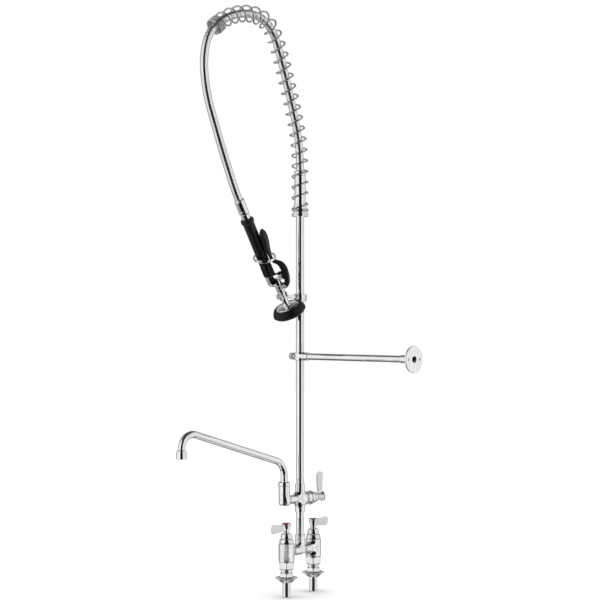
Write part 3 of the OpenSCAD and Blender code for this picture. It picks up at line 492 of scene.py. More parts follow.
# ------------------------ hose, a cord: the route is part.scad's, in metres
HOSE_ROUTE = [(0, 0, 0.900), (0.001, 0, 0.930), (0.004, 0, 0.960), (0.010, 0, 0.990), (0.018, 0, 1.020),
              (0.027, 0, 1.050), (0.037, 0, 1.080), (0.047, 0, 1.110), (0.057, 0, 1.138), (0.067, 0, 1.164),
              (0.078, 0, 1.187), (0.093, 0, 1.207), (0.114, 0, 1.221), (0.139, 0, 1.227), (0.165, 0, 1.227),
              (0.191, 0, 1.222), (0.216, 0, 1.213), (0.239, 0, 1.200), (0.259, 0, 1.183), (0.272, 0, 1.162),
              (0.279, 0, 1.137), (0.2815, 0, 1.110), (0.2795, 0, 1.083), (0.2745, 0, 1.056),
              (0.2675, 0, 1.030), (0.259, 0.0002, 1.006), (0.2495, 0.0005, 0.981), (0.239, 0.0008, 0.953),
              (0.228, 0.0012, 0.925), (0.217, 0.0015, 0.898), (0.2065, 0.002, 0.8725),
              (0.1955, 0.0023, 0.848), (0.1852, 0.0023, 0.8287)]
HOSE_DIAMETER = 0.0175
RIB_PITCH = 3.2
RIB_STEPS = 6
hose_line = even(spline(np.array(HOSE_ROUTE) / MM, 12), RIB_PITCH / RIB_STEPS)
groove = np.clip(2 * np.cos(2 * math.pi * np.arange(len(hose_line)) / RIB_STEPS) - 1, 0, 1)
hose = sweep("ribbed_hose", hose_line, HOSE_DIAMETER / 2 / MM - 0.55 * groove, 32, ARC, crease=None)
finish_piece(hose, HOSE, None, "hose", slot="hose_steel")
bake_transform(hose)


# ------------------------ spring guard, right-handed, closed at both ends
SPRING_R = 17
WIRE_R = 1.9
OPEN_TURNS = 24
# Both ends are wound close: so many turns in so many millimetres. The far one stops END_CUT short of the
# last point.
FOOT_TURNS, FOOT_LENGTH = 2, 9
END_TURNS, END_LENGTH = 4, 17
END_CUT = 9
SPRING_POINTS = [(0, 0, 810), (0, 0, 840), (0, 0, 870)]
SPRING_POINTS += [tuple(np.array(p) / MM) for p in HOSE_ROUTE[:19]]
SPRING_STEPS = len(SPRING_POINTS) - 1
TURN_STEPS = 40


def spring_axis(t):
    """The spring's centre line, at t points along it."""
    p = np.array(SPRING_POINTS, float)
    i = np.minimum(np.floor(t).astype(int), SPRING_STEPS - 1)
    near, far = p[np.maximum(i - 1, 0)], p[np.minimum(i + 2, SPRING_STEPS)]
    return between(near, p[i], p[i + 1], far, (t - i)[:, None])


ALL_TURNS = FOOT_TURNS + OPEN_TURNS + END_TURNS
turns = np.arange(0, ALL_TURNS * TURN_STEPS + 1) / TURN_STEPS
chords = np.linalg.norm(np.diff(np.array(SPRING_POINTS, float), axis=0), axis=1)
chords = np.append(0, np.cumsum(chords))
spring_length = chords[-1] - END_CUT
travelled = np.interp(turns, [0, FOOT_TURNS, FOOT_TURNS + OPEN_TURNS, ALL_TURNS],
                      [0, FOOT_LENGTH, spring_length - END_LENGTH, spring_length])
along = np.interp(travelled, chords, np.arange(SPRING_STEPS + 1))
spine = spring_axis(along)
ahead = spring_axis(np.minimum(along + 0.02, SPRING_STEPS))
ahead = ahead - spring_axis(np.maximum(along - 0.02, 0))
ahead /= np.linalg.norm(ahead, axis=1)[:, None]
sideways = np.array((0.0, 1.0, 0.0))
outward = np.cross(sideways, ahead)
phase = 2 * math.pi * turns[:, None]
coil = spine + SPRING_R * (np.cos(phase) * outward + np.sin(phase) * sideways)
# The wire tapers off at both tips.
wire = np.full(len(coil), WIRE_R)
wire[:3], wire[-3:] = (1.2, 1.6, 1.85), (1.85, 1.6, 1.2)
finish_piece(sweep("spring_coil", coil, wire, 14, ARC, side=(1, 0, 0)), SPRING, "root", "spring_guard",
             slot="spring_steel")


# ------------------------ turned and drawn pieces of the riser
def pipe(name, at, r, bore, z0, z1, body, cad_node):
    """A straight chromed tube about z."""
    profile = [(bore, z0), (r, z0), (r, z1), (bore, z1)]
    finish_piece(lathe(name, profile, at, closed=True), CHROME, body, cad_node)


def level(name, corner):
    """A CAD node's lowest (0) or highest (1) height, in millimetres."""
    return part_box(name)[corner].z / MM


ORIGIN = Matrix.Identity(4)
PIPE_R, PIPE_BORE = 9, 7.4
riser_top = level("riser_pipe", 1)
riser_foot = level("riser_pipe", 0)
collar_foot, collar_tip = level("spring_collar", 0), level("spring_collar", 1)
cuff_top = level("hose_cuff", 1)
pipe("riser", ORIGIN, PIPE_R, PIPE_BORE, riser_foot, riser_top, "root", "riser_pipe")
pipe("nipple", ORIGIN, PIPE_R, PIPE_BORE, level("lower_nipple", 0), level("lower_nipple", 1), "root",
     "lower_nipple")
COLLAR = [(9, 0), (17.4, 0), (18.4, 1.2), (18.4, 3.2), (17.9, 3.8), (18.4, 4.4), (18.4, 7.2), (17.7, 8),
          (14.7, 8)]
collar = [(r, collar_foot + z) for r, z in COLLAR]
collar += [(14.7, collar_tip), (5.5, collar_tip), (5.5, riser_top), (PIPE_R, riser_top)]
finish_piece(lathe("spring_collar_ring", collar, ORIGIN, 0.3, closed=True), CHROME, "root", "spring_collar")
CUFF = [(5.5, collar_tip), (12.6, collar_tip), (12.6, cuff_top - 12), (12.1, cuff_top - 11.4),
        (12.6, cuff_top - 10.8), (12.6, cuff_top - 2.5), (11.2, cuff_top), (5.5, cuff_top)]
finish_piece(lathe("hose_cuff_sleeve", CUFF, ORIGIN, 0.4, closed=True), CHROME, "root", "hose_cuff")


# ------------------------ hot and cold side, one set at each inlet
def hexagon(flat, round_to=0.8, turned=0.0):
    """A shape for lathe(): cuts a turned blank to a hexagon that is flat across twice flat."""
    def shape(a, r, z):
        side = (a - turned + math.pi / 6) % (math.pi / 3) - math.pi / 6
        h = flat / np.cos(side)
        k = round_to
        d = np.maximum(k - np.abs(h - r), 0) / k
        return np.minimum(h, r) - d * d * k / 4
    return shape


NUT_TURN = math.radians(5.5)
BARREL_TOP = 84.5
BONNET = [(4.2, -14), (10.8, -14), (10.8, 0), (15.0, 0), (15.7, 1.6), (15.9, 4.0), (15.5, 7.0), (14.4, 9.6),
          (12.9, 11.0), (12.6, 11.9), (12.8, 13.2), (12.9, 15.0), (12.3, 18.0), (11.2, 20.6), (10.4, 22.2),
          (8.6, 23.0), (6.4, 23.2), (6.4, 25.5), (4.2, 25.5)]
PADDLE_END, PADDLE_CORNER = 56, 9.6


def paddle(p):
    """The lever of a handle, along -x from its hub."""
    x, y, z = p[..., 0], p[..., 1], p[..., 2]
    half = 7.0 + np.clip((-x - 12) / 38, 0, 1) * 3.5
    a, b = np.abs(z - 9) - half + PADDLE_CORNER, -PADDLE_END - x + PADDLE_CORNER
    flat = np.minimum(np.maximum(a, b), 0) + np.hypot(np.maximum(a, 0), np.maximum(b, 0)) - PADDLE_CORNER
    flat = np.maximum(flat, x + 3)
    thick = np.abs(y) - (2.75 - np.clip((-x - 12) / 44, 0, 1) * 0.5)
    return -join(-flat, -thick, 2.2)


def handle_field(p):
    hub = rod(p, 6.3, 0, 16.5, 0.6, r1=10.6)
    hub = join(hub, rod(p, 10.6, 14.8, 18, 0.5), 1.2)
    body = join(hub, paddle(p), 5.0)
    body = cut(body, rod(p, 9.55, 16, 20, 0.1), 0.3)
    return cut(body, rod(p, 4.05, -2, 12, 0.1), 0.3)


SATIN_FROM = -13.0
INDEX = [(0, 16.2), (9.4, 16.2), (9.4, 18.3), (8.4, 19.1), (6.0, 19.5), (0, 19.8)]


def valve_lever(name, at, body, index_mat, index_slot, node_names):
    """A handle with its index button. Its paddle is satin and its hub polished."""
    grip = cast(name + "_lever", handle_field, (-57, -11, -1), (11, 11, 19), 0.8, at)
    finish_piece(grip, CHROME, body, node_names[0])
    grip.data.materials.append(SATIN)
    inverse = np.array(at.inverted())
    for face in grip.data.polygons:
        c = inverse[:3, :3] @ (np.array(face.center) / MM) + inverse[:3, 3]
        face.material_index = int(c[0] < SATIN_FROM)
    finish_piece(lathe(name + "_index", INDEX, at, 0.5), index_mat, body, node_names[1], slot=index_slot)


HANDLE_Z = BARREL_TOP + 26
ADDON_FACE = 26
valve_lever("hot", HOT @ shift(0, 0, HANDLE_Z), "hot_lever", RED, "red_plastic",
            ("hot_handle", "hot_index"))
valve_lever("cold", COLD @ shift(0, 0, HANDLE_Z), "cold_lever", BLUE, "blue_plastic",
            ("cold_handle", "cold_index"))
valve_lever("addon", CROSS @ shift(0, 0, ADDON_FACE + 26), "addon_lever", GREY, "grey_plastic",
            ("addon_handle", "addon_index"))

SHANK = [(6, -32), (7.9, -32), (8.7, -31.2), (8.7, -0.3), (8.4, 0), (8.4, 22.6), (12, 22.6), (12, 35.5),
         (6, 35.5)]
FLANGE = [(9.0, 0), (12.5, 0), (14.2, 1.4), (19.5, 6.4), (24.6, 9.6), (25.5, 10.2), (25.5, 11), (24.6, 11),
          (19.0, 7.8), (14.8, 3.9), (13.4, 3), (9.0, 3)]
NUT = [(13.0, 28.5), (15.8, 28.5), (19.3, 31.2), (19.3, 42.8), (15.8, 45.5), (13.0, 45.5)]
LOCK_NUT = [(8.4, 9), (13.4, 9), (16.4, 10.8), (16.4, 19.2), (13.4, 21.5), (8.4, 21.5)]


def pair(name, profile, edge, cad_node, sides=96, shape=None, lift=0.0):
    """One turned piece at each inlet. The first stands for the CAD node of both."""
    for side, place in (("hot", HOT), ("cold", COLD)):
        piece = lathe(f"{side}_{name}", profile, shift(place.translation.x, 0, lift), edge, sides,
                      closed=True, shape=shape)
        finish_piece(piece, CHROME, "root", cad_node)


pair("shank", SHANK, 0.3, "inlet_shanks")
pair("flange", FLANGE, 0.8, "deck_flanges")
pair("coupling_nut", NUT, 0.5, "coupling_nuts", 192, hexagon(16.6, 1.6, NUT_TURN))
pair("lock_nut", LOCK_NUT, 0.5, "lock_nuts", 192, hexagon(14.2, 1.4, NUT_TURN))
pair("bonnet", BONNET, 0.9, "valve_bonnets", lift=BARREL_TOP)


BRIDGE_Z = 65
BARREL_R, BARREL_FOOT = 17.6, 45.8
CHAMBER_R, WAY_R = 11, 5


def base_field(p):
    inlets = [p - (place.translation.x, 0, 0) for place in (HOT, COLD)]
    barrels = np.minimum(*(rod(q, BARREL_R, BARREL_FOOT, BARREL_TOP, 0.7) for q in inlets))
    across = local(p, shift(0, 0, BRIDGE_Z) @ turn("Y", 90))
    f = join(barrels, rod(across, 10.2, -50, 50, 0.5), 9)
    f = join(f, rod(p, 10.8, 62, 100, 0.6), 9)
    f = cut(f, rod(p, PIPE_R, 82, 102, 0.1), 0.2)
    for q in inlets:
        f = cut(f, rod(q, CHAMBER_R, 58, 90, 0.1), 0.2)
        f = join(f, np.maximum(rod(q, 13, 37.5, 47, 0.2), -rod(q, WAY_R, 30, 60, 0.1)), 0.2)
        f = cut(f, rod(q, WAY_R, 30, 60, 0.1), 0.2)
    return f


finish_piece(cast("base_casting", base_field, (-70, -19, 37), (70, 19, 101), 1.1), CAST, "root",
             "base_body")


# ------------------------ add-on faucet and its spout
ARM_R, HUB_R, HUB_TOP = 10, 12.2, 208.5


def addon_field(p):
    f = join(rod(p, 11.3, 149, 170, 0.7), rod(p, 10.8, 186, 211.5, 0.7), 1)
    f = join(f, rod(p, 11.6, 165, 191, 3.0), 4)
    q = local(p, UPPER.inverted() @ CROSS)
    f = join(f, rod(q, ARM_R, -49, 16, 0.5), 11)
    f = join(f, rod(q, ARM_R, 7, 15, 0.3, r1=14.6), 4)
    f = join(f, rod(q, 14.6, 14, ADDON_FACE, 0.7), 1.0)
    h = local(p, UPPER.inverted() @ HUB)
    f = join(f, rod(h, HUB_R, 166, HUB_TOP, 5.5), 8)
    f = join(f, rod(h, HUB_R, 190, HUB_TOP, 0.6), 0.5)
    f = cut(f, rod(h, 10.0, 190, 212, 0.1), 0.2)
    f = cut(f, rod(p, PIPE_R, 140, 165, 0.1), 0.2)
    f = cut(f, rod(p, PIPE_R, 194, 220, 0.1), 0.2)
    return cut(f, rod(q, CHAMBER_R, 12, 30, 0.1), 0.2)


finish_piece(cast("addon_casting", addon_field, (-62, -16, 148), (27, 16, 213), 1.0, UPPER), CAST, "root",
             "addon_body")
finish_piece(lathe("addon_bonnet_dome", BONNET, CROSS @ shift(0, 0, ADDON_FACE), 0.9, closed=True), CHROME,
             "root", "addon_bonnet")
SWIVEL_NUT = [(10.9, 208.5), (13.3, 208.5), (13.3, 210.2), (12.9, 210.6), (13.3, 211.0), (13.3, 217.0),
              (11.8, 218.5), (7.95, 218.5), (7.95, 216.5), (10.9, 216.5)]
finish_piece(lathe("spout_swivel_nut", SWIVEL_NUT, HUB, 0.35, closed=True),
             CHROME, "root", "spout_nut")

RISE = math.radians(16.5)
SPOUT_REACH, BEND_Z, BEND_R, FAR_R = 295, 233, 34, 30
SPOUT_FOOT, SPOUT_R, SPOUT_BORE = 194, 7.9, 6.7
up = math.pi / 2 - RISE
run_x, run_z = BEND_R * (1 - math.cos(up)), BEND_Z + BEND_R * math.sin(up)
far_x = SPOUT_REACH - FAR_R * (1 + math.sin(RISE))
far_z = run_z + (far_x - run_x) * math.tan(RISE)
tip_z = far_z - FAR_R * math.cos(RISE)
spout_line = [(0, 0, z) for z in np.linspace(SPOUT_FOOT, BEND_Z, 8)]
spout_line += [(BEND_R * (1 - math.cos(t)), 0, BEND_Z + BEND_R * math.sin(t))
               for t in np.linspace(0, up, 25)[1:]]
spout_line += [(run_x + (far_x - run_x) * t, 0, run_z + (far_z - run_z) * t)
               for t in np.linspace(0, 1, 30)[1:]]
spout_line += [(SPOUT_REACH - FAR_R + FAR_R * math.sin(t - RISE), 0, tip_z + FAR_R * math.cos(t - RISE))
               for t in np.linspace(0, math.pi / 2 + RISE, 31)[1:]]
spout_line += [(SPOUT_REACH, 0, z) for z in np.linspace(tip_z, tip_z - 17, 6)[1:]]
finish_piece(sweep("spout_pipe", spout_line, SPOUT_R, 64, HUB, inner=SPOUT_BORE), CHROME, "swing_spout",
             "spout_tube")
OUTLET = [(7.3, -20), (10.4, -20), (11, -19.4), (11, -8), (10.8, -6.4), (10.1, -4.2), (9.0, -1.8),
          (8.3, -0.6), (7.9, 0), (7.9, -17), (7.3, -17)]
finish_piece(lathe("spout_tip", OUTLET, HUB @ shift(SPOUT_REACH, 0, tip_z), 0.3, closed=True), CHROME,
             "swing_spout", "spout_outlet")


# ------------------------ hook that holds the spray valve on the riser
HEAD_AXIS = HEAD @ turn("Z", -115)
CRADLE = ARC.inverted() @ HEAD_AXIS


HOOK_Z = 620
CRADLE_R = 7.4
HOOK_SCREW_R = 3


def hook_field(p):
    f = rod(p, 12.5, HOOK_Z - 9, HOOK_Z + 9, 0.9)
    f = join(f, slab(p, (0, -4, HOOK_Z - 1.5), (64.5, 0, HOOK_Z + 6.5), 1.2), 4)
    q = local(p, CRADLE)
    half = np.maximum(rod(q, 10.8, 33, 45, 0.8), q[..., 1])
    f = join(f, half, 2)
    for low, high in ((7.2, 10.8), (-10.8, -7.2)):
        f = join(f, slab(q, (low, -2, 33), (high, 6, 45), 1.0), 0.8)
    f = join(f, slab(q, (-6, -16, 34), (6, -9, 44), 1.2), 3)
    f = cut(f, rod(q, CRADLE_R, 10, 70, 0.1), 0.6)
    f = cut(f, slab(q, (-CRADLE_R, 0, 10), (CRADLE_R, 30, 70), 0.1), 0.6)
    f = cut(f, rod(p, PIPE_R, HOOK_Z - 20, HOOK_Z + 20, 0.1), 0.4)
    return cut(f, rod(local(p, shift(0, 0, HOOK_Z) @ turn("Y", -90)), HOOK_SCREW_R, 0, 20, 0.1), 0.3)


finish_piece(cast("hook_casting", hook_field, (-13, -14, 608), (74, 20, 633), 0.9, ARC), CAST, "root",
             "hook")


def wing_field(p):
    f = join(rod(p, HOOK_SCREW_R, 9.1, 16, 0.2), rod(p, 5, 14, 17, 0.6), 0.6)
    for side in (-1, 1):
        q = local(p, shift(side * 3.2, 0, 18.3) @ turn("Y", side * 18))
        f = join(f, slab(q, (-2.9, -1.2, -3.4), (2.9, 1.2, 3.9), 1.1), 1.6)
    return f


finish_piece(cast("hook_wing_screw", wing_field, (-8, -6, 8), (8, 6, 24), 0.5, HOOK @ turn("Y", -90)),
             CHROME, "hook_thumb_screw", "hook_screw")


# ------------------------ wall bracket
BRACKET_REACH = 318
BRACKET_TUBE_R = 7.5
CLAMP_SCREW_R = 3


def clamp_field(p):
    f = rod(p, 12.5, -9, 9, 1.2)
    across = local(p, turn("Y", 90))
    f = join(f, rod(across, 9, 0, 26, 0.8), 3)
    back = local(p, turn("Y", -90))
    f = join(f, rod(back, 7, 0, 15, 0.6), 2.5)
    f = cut(f, rod(p, 9.05, -20, 20, 0.1), 0.4)
    f = cut(f, rod(across, BRACKET_TUBE_R, 14, 40, 0.1), 0.3)
    return cut(f, rod(back, CLAMP_SCREW_R, 0, 30, 0.1), 0.3)


finish_piece(cast("bracket_clamp_casting", clamp_field, (-16, -13, -10), (27, 13, 10), 0.8, BRACKET), CAST,
             "wall_bracket", "bracket_clamp")
BRACKET_ALONG = BRACKET @ turn("Y", 90)
pipe("bracket_arm", BRACKET_ALONG, BRACKET_TUBE_R, 6.3, 14, BRACKET_REACH - 4, "wall_bracket",
     "bracket_tube")


def flange_field(p):
    f = join(rod(p, 8.9, BRACKET_REACH - 34, BRACKET_REACH - 1, 0.9),
             rod(p, 28.5, BRACKET_REACH - 4, BRACKET_REACH, 1.1), 3.0)
    f = cut(f, rod(p, BRACKET_TUBE_R, BRACKET_REACH - 40, BRACKET_REACH - 4, 0.1), 0.3)
    f = cut(f, rod(p, 7.1, BRACKET_REACH - 6, BRACKET_REACH + 5, 0.1), 0.4)
    for side in (-18.5, 18.5):
        f = cut(f, rod(p - (0, side, 0), 2.6, BRACKET_REACH - 10, BRACKET_REACH + 5, 0.1), 0.4)
    return f


finish_piece(cast("wall_plate", flange_field, (-29.5, -29.5, BRACKET_REACH - 35),
                  (29.5, 29.5, BRACKET_REACH + 1), 0.9, BRACKET_ALONG), CHROME, "wall_bracket",
             "wall_flange")


def knurl(a, r, z):
    return r - (0.38 * np.abs(np.sin(18 * a)) if r > 7.0 and 17 < z < 25.6 else 0 * a)


KNOB = [(0, 9.1), (3, 9.1), (3, 15.5), (6.8, 15.5), (7.5, 16.4), (7.5, 17.2), (7.5, 25.4), (7.5, 26.2),
        (6.8, 27), (3.4, 27), (2.8, 26.2), (0, 26.2)]
finish_piece(lathe("bracket_knob", KNOB, BRACKET @ turn("Y", -90), 0.3, 180, shape=knurl),
             STEEL, "bracket_thumb_screw", "bracket_screw", slot="stainless")


# ------------------------ spray valve: handle
FERRULE = [(5.5, 243.2), (9.6, 243.2), (11, 245.4), (11, 250.4), (10.55, 250.9), (11, 251.4), (11, 272.6),
           (10.55, 273.1), (11, 273.6), (11, 275.4), (9.9, 277), (5.5, 277)]
finish_piece(lathe("ferrule", FERRULE, GRIP, 0.4, closed=True),
             CHROME, "spray_valve", "hose_ferrule")
HOSE_NUT = [(8, 232), (9.2, 232), (9.6, 232.6), (9.6, 242.4), (9.2, 243), (8, 243)]
finish_piece(lathe("swivel_nut", HOSE_NUT, GRIP, 0.3, closed=True),
             CHROME, "spray_valve", "hose_nut")
GRIP_PROFILE = [(8, 120.3), (11.8, 120.3), (12.4, 121), (12.4, 218.5), (12.6, 220), (13.8, 221.8),
                (14.4, 223.2), (14.6, 225), (14.6, 228.6), (14.2, 230.2), (12.8, 231), (8, 231)]
finish_piece(lathe("rubber_grip", GRIP_PROFILE, GRIP, 0.7, closed=True), GRIP_RUBBER, "spray_valve", "grip",
             slot="grip_rubber")


def ribbed(a, r, z):
    return r - (1.0 * np.clip((np.cos(18 * a) - 0.1) / 0.4, 0, 1) if r > 12.2 else 0 * a)


CAP = [(8, 93.5), (11.6, 93.5), (12.6, 94.6), (12.6, 116.4), (12.1, 117.2), (12.1, 118.8), (11.2, 120),
       (8, 120)]
finish_piece(lathe("ribbed_cap", CAP, GRIP, 0.3, 288, closed=True, shape=ribbed),
             GRIP_RUBBER, "spray_valve", "grip_cap", slot="grip_rubber")


# ------------------------ spray valve: body
# The height at which the plunger crosses the valve's body.
VALVE_Z = 87
EYE_R, PIN_R = 4.6, 2


def body_field(p):
    g = p - GRIP_OFFSET
    crossing = local(p, shift(0, 0, VALVE_Z) @ turn("Y", 90))
    f = join(rod(p, 6.6, 10, 50, 0.3), rod(p, 8.6, 18, 23, 0.2, r1=6.6), 0.8)
    f = join(f, rod(p, 9, 50, 84, 2.4), 1.0)
    f = join(f, rod(p, 9.6, 49, 52, 0.6), 0.5)
    bowl = np.minimum(rod(g, 11.3, 77, 93.2, 0.5), ball(g - (0, 0, 77), 11.3))
    f = join(f, bowl, 4)
    f = join(f, rod(crossing, 8.2, -4, 10.5, 0.5), 2.5)
    for side in (-7.7, 7.7):
        ear = local(p, shift(PIVOT[0], side, PIVOT[1]) @ turn("X", 90))
        arm = slab(p, (0, side - 1.3, PIVOT[1] - EYE_R), (PIVOT[0], side + 1.3, PIVOT[1] + EYE_R), 0.5)
        f = join(f, join(rod(ear, EYE_R, -1.3, 1.3, 0.5), arm, 0.3), 1.6)
    f = cut(f, rod(g, 12.7, 93.2, 110, 0.1), 0.4)
    f = cut(f, rod(g, 5.5, VALVE_Z, 99, 0.1), 0.3)
    f = cut(f, rod(p, 3, 5, VALVE_Z, 0.1), 0.3)
    f = cut(f, rod(crossing, 5, -20, 20, 0.1), 0.3)
    return cut(f, rod(local(p, shift(PIVOT[0], 0, PIVOT[1]) @ turn("X", 90)), PIN_R, -20, 20, 0.1), 0.2)


finish_piece(cast("valve_casting", body_field, (-23.5, -12.5, 9), (22.5, 12.5, 98), 0.8, HEAD), CAST,
             "spray_valve", "spray_body")


def packing_hexagon(a, r, z):
    return hexagon(8.83, 0.4, math.pi / 6)(a, r, z) if r > 5.5 else np.full(len(a), r)


PACKING_NUT = [(2.05, 4), (5, 4), (5, 10.5), (8.9, 10.5), (10.2, 11.5), (10.2, 17.3), (8.9, 18.2),
               (2.05, 18.2)]
finish_piece(lathe("packing_nut", PACKING_NUT, HEAD @ shift(0, 0, VALVE_Z) @ turn("Y", 90), 0.25, 144,
                   closed=True, shape=packing_hexagon), CHROME, "spray_valve", "spray_bonnet")
PIN = [(0, -9), (PIN_R - 0.4, -9), (PIN_R, -8.6), (PIN_R, 8.6), (PIN_R - 0.4, 9), (0, 9)]
finish_piece(lathe("pivot_pin", PIN, HEAD @ shift(PIVOT[0], 0, PIVOT[1]) @
                   turn("X", 90), 0.2, 48), STEEL, "spray_valve", "trigger_pin", slot="stainless")
DISC = [(6.6, 10), (6.6, 20.5), (8.6, 20.5), (9.3, 19.4), (9.6, 17.6), (11.2, 16.7), (16, 16.0),
        (20.6, 15.4), (24.4, 14.4), (26.2, 12.8), (26.6, 11), (26.6, 4), (24, 4), (24, 9), (9, 9), (9, 10)]
finish_piece(lathe("spray_disc", DISC, HEAD, 0.5, 128, closed=True), CHROME, "spray_valve", "spray_face")
BUMPER = [(23, -7), (31, -7), (32.4, -6), (37, -1.5), (37, 2), (34.5, 8), (32.3, 12.2), (31.7, 12.6),
          (31.2, 12.4), (30.4, 13.9), (27.6, 14), (26.6, 13.2), (26.6, 1.5), (23, 1.5)]
finish_piece(lathe("rubber_bumper", BUMPER, HEAD, 0.35, 144, closed=True), BUMPER_RUBBER, "spray_valve",
             "bumper", slot="grip_rubber")

# ------------------------ spray valve: trigger and its hold-open ring
# Outlines in the spray valve's own frame: the whole lever and the hollow of its arc, both in x and z, and
# the blade from the side and from the front.
TRIGGER = [(16, 57.5), (21, 59.5), (26, 66), (29.3, 75), (31.5, 85), (32.5, 96), (31.8, 106), (27.5, 115),
           (20.5, 120.5), (14, 124.2), (10.4, 129), (9.4, 135), (9.8, 142), (11.4, 155), (13.8, 168),
           (15.2, 180), (14.8, 190), (12.6, 197), (10.4, 199.5), (9.6, 197), (11, 188), (11.6, 179),
           (10.4, 168), (8.2, 156), (6.6, 142), (5.8, 134), (7, 126.5), (10.5, 121), (15.5, 117), (19, 111),
           (20.3, 103), (20.3, 90), (19.6, 78), (17, 69), (12, 66)]
CHANNEL = [(10, 69), (22, 68), (25.6, 76), (27.6, 86), (28.5, 96), (27.8, 105), (24.2, 112), (18, 117),
           (10, 112)]
BLADE_SIDE = [(5.8, 139), (9.6, 139), (11.2, 154), (13.6, 168), (15, 180), (14.6, 190), (12.4, 197),
              (10.4, 199.5), (7, 194), (5.5, 184), (5.5, 150)]
BLADE_FRONT = [(-5, 139), (5, 139), (7.8, 148), (10.2, 159), (11, 171), (10.8, 184), (9, 193), (5.5, 198.5),
               (0, 200.5), (-5.5, 198.5), (-9, 193), (-10.8, 184), (-11, 171), (-10.2, 159), (-7.8, 148)]


def inside_outline(u, w, corners, per_span=4):
    """Signed distance to the smooth outline through the corners."""
    outline = spline([(x, 0, z) for x, z in corners + corners[:1]], per_span)[:-1][:, [0, 2]]
    best = np.full(u.shape, 1e9)
    sign = np.ones(u.shape)
    for (ax, az), (bx, bz) in zip(outline, np.roll(outline, -1, axis=0)):
        ex, ez = bx - ax, bz - az
        wx, wz = u - ax, w - az
        t = np.clip((wx * ex + wz * ez) / (ex * ex + ez * ez), 0, 1)
        best = np.minimum(best, (wx - ex * t) ** 2 + (wz - ez * t) ** 2)
        c1, c2, c3 = w >= az, w < bz, ex * wz > ez * wx
        sign = np.where((c1 & c2 & c3) | (~c1 & ~c2 & ~c3), -sign, sign)
    return sign * np.sqrt(best)


def trigger_field(p):
    x, y, z = p[..., 0], p[..., 1], p[..., 2]
    side = inside_outline(x, z, TRIGGER)
    arc = join(side, np.hypot(x - PIVOT[0], z - PIVOT[1]) - EYE_R, 1.5)
    arc = -join(-arc, -(np.abs(y) - 6), 1.4)
    arc = cut(arc, np.maximum(inside_outline(x, z, CHANNEL), np.abs(y) - 3.8), 0.6)
    front = inside_outline(y, z, BLADE_FRONT, 3)
    rim = -join(-inside_outline(x, z, BLADE_SIDE, 3), -(np.abs(front + 1.3) - 1.3), 1.0)
    f = join(arc, join(-join(-side, -front, 1.2), rim, 1.2), 1.5)
    return cut(f, rod(local(p, shift(PIVOT[0], 0, PIVOT[1]) @ turn("X", 90)), 2.05, -20, 20, 0.1), 0.2)


finish_piece(cast("trigger_blade", trigger_field, (4, -11.8, 56), (33.5, 11.8, 207), 0.8, HEAD), PLASTIC,
             "trigger_lever", "trigger", slot="black_plastic")
RING = [(22.1, -3.1), (24.5, -3.1), (24.5, 3.1), (22.1, 3.1)]
RING_AT = HEAD @ shift(-6.4, 0, 136) @ turn("Y", 16)
finish_piece(lathe("hold_open_loop", RING, RING_AT, 0.8, 160, closed=True), CHROME, "hold_open_ring",
             "hold_ring")


# ------------------------ floor, studio and light
bpy.context.scene.view_settings.view_transform = "Standard"
FLOOR_GAP = 0.0005
floor_z = cad_box[0][2] - FLOOR_GAP
bpy.ops.mesh.primitive_plane_add(size=14, location=(0, 0, floor_z))
floor = bpy.context.object
floor.name = "floor"
paper = bpy.data.materials.new("pale_floor")
paper.use_nodes = True
paper_tree = paper.node_tree
paper_shader = paper_tree.nodes["Principled BSDF"]
paper_mix = node(paper_tree, "ShaderNodeMix", data_type="RGBA")
paper_mix.inputs[6].default_value = (0.93, 0.93, 0.93, 1)
paper_mix.inputs[7].default_value = (0.97, 0.97, 0.97, 1)
paper_tree.links.new(ranged(paper_tree, noise(paper_tree, 3), 0, 1), paper_mix.inputs["Factor"])
paper_tree.links.new(paper_mix.outputs[2], paper_shader.inputs["Base Color"])
paper_shader.inputs["Roughness"].default_value = 0.9
floor.data.materials.append(paper)
floor.visible_glossy = False

world = bpy.data.worlds.new("studio")
bpy.context.scene.world = world
world.use_nodes = True
tree = world.node_tree
tree.nodes.clear()
links = tree.links


def math_node(operation, a, b=None):
    n = node(tree, "ShaderNodeMath", operation=operation)
    for i, v in enumerate((a, b)):
        if v is None:
            continue
        if isinstance(v, (int, float)):
            n.inputs[i].default_value = v
        else:
            links.new(v, n.inputs[i])
    return n.outputs[0]


def along_direction(direction):
    n = node(tree, "ShaderNodeVectorMath", operation="DOT_PRODUCT")
    links.new(sky_direction, n.inputs[0])
    n.inputs[1].default_value = direction
    return n.outputs["Value"]


sky_direction = node(tree, "ShaderNodeTexCoord").outputs["Generated"]
azimuth = math_node("ARCTAN2", along_direction(CAMERA_RIGHT), along_direction(-CAMERA_AWAY))
share = math_node("ADD", math_node("DIVIDE", azimuth, 2 * math.pi), 0.5)
# Degrees round the object from the camera's own side, and the studio's brightness there.
STUDIO = [(-180, 0.55), (-140, 0.36), (-108, 0.40), (-95, 0.94), (-60, 0.88), (-27, 1.12), (-21, 0.012),
          (32, 0.012), (38, 1.10), (60, 0.70), (90, 0.88), (114, 0.90), (122, 0.42), (140, 0.36),
          (180, 0.55)]
# The same low in the studio, where the dark flag beside the camera is wider.
LOW_STUDIO = [(-180, 0.55), (-140, 0.36), (-108, 0.40), (-95, 0.94), (-60, 0.90), (-42, 1.12), (-36, 0.012),
              (45, 0.012), (51, 1.10), (64, 0.70), (90, 0.88), (114, 0.90), (122, 0.42), (140, 0.36),
              (180, 0.55)]
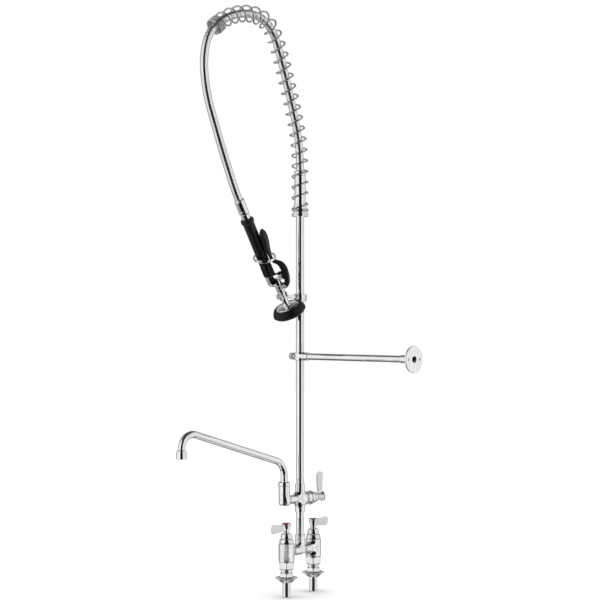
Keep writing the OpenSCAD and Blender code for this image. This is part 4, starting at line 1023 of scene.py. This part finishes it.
# And in the pale strip between the two, which only the valve barrels mirror to the camera.
STRIP = [(-180, 0.55), (-140, 0.36), (-108, 0.40), (-95, 0.94), (-50, 0.84), (-20, 0.70), (14, 0.80),
         (18, 0.20), (26, 0.20), (30, 1.10), (60, 1.10), (90, 0.88), (114, 0.90), (122, 0.42), (140, 0.36),
         (180, 0.55)]
STRIP_HEIGHTS = (44, 86)
# Sine of the elevation, and the share of that brightness left there.
HEIGHTS = [(-1, 1.2), (-0.86, 1.0), (-0.74, 0.2), (-0.5, 1), (0.5, 1), (0.84, 0.14), (1, 0.10)]


def ramp(value, values):
    """A colour ramp over (position, brightness) pairs, the first at 0 and the last at 1."""
    n = node(tree, "ShaderNodeValToRGB")
    links.new(value, n.inputs["Fac"])
    stops = n.color_ramp.elements
    for place, (position, brightness) in enumerate(values):
        end = {0: 0, len(values) - 1: len(stops) - 1}.get(place)
        stop = stops.new(position) if end is None else stops[end]
        stop.color = (brightness, brightness, brightness, 1)
    return n.outputs["Color"]


def around(values):
    """A ramp over (degrees, brightness) pairs round the object."""
    return ramp(share, [(degrees / 360 + 0.5, brightness) for degrees, brightness in values])


def chosen(factor, a, b):
    """Colour a where the factor is 0, and b where it is 1."""
    n = node(tree, "ShaderNodeMix", data_type="RGBA")
    links.new(factor, n.inputs["Factor"])
    links.new(a, n.inputs[6])
    links.new(b, n.inputs[7])
    return n.outputs[2]


rise = along_direction((0, 0, 1))
strip_low, strip_high = (math.sin(math.atan((z * MM - CAMERA_HEIGHT) / CAMERA_DISTANCE))
                         for z in STRIP_HEIGHTS)
below_top = math_node("LESS_THAN", rise, strip_high)
below_foot = math_node("LESS_THAN", rise, strip_low)
around_sky = chosen(below_foot, chosen(below_top, around(STUDIO), around(STRIP)), around(LOW_STUDIO))
studio = node(tree, "ShaderNodeBackground")
links.new(around_sky, studio.inputs["Color"])
links.new(ramp(math_node("ADD", math_node("MULTIPLY", rise, 0.5), 0.5),
               [(sine / 2 + 0.5, share_left) for sine, share_left in HEIGHTS]), studio.inputs["Strength"])
backdrop = node(tree, "ShaderNodeBackground")
backdrop.inputs["Color"].default_value = (1, 1, 1, 1)
seen = node(tree, "ShaderNodeLightPath").outputs["Is Camera Ray"]
blend = node(tree, "ShaderNodeMixShader")
links.new(seen, blend.inputs[0])
links.new(studio.outputs[0], blend.inputs[1])
links.new(backdrop.outputs[0], blend.inputs[2])
links.new(blend.outputs[0], node(tree, "ShaderNodeOutputWorld").inputs["Surface"])

lamp = bpy.data.objects.new("overhead_softbox", bpy.data.lights.new("overhead_softbox", "SUN"))
lamp.data.angle = math.radians(80)
lamp.data.energy = 3.0
lamp.location = (0, 0, 3.2)
lamp.visible_glossy = False
bpy.context.scene.collection.objects.link(lamp)
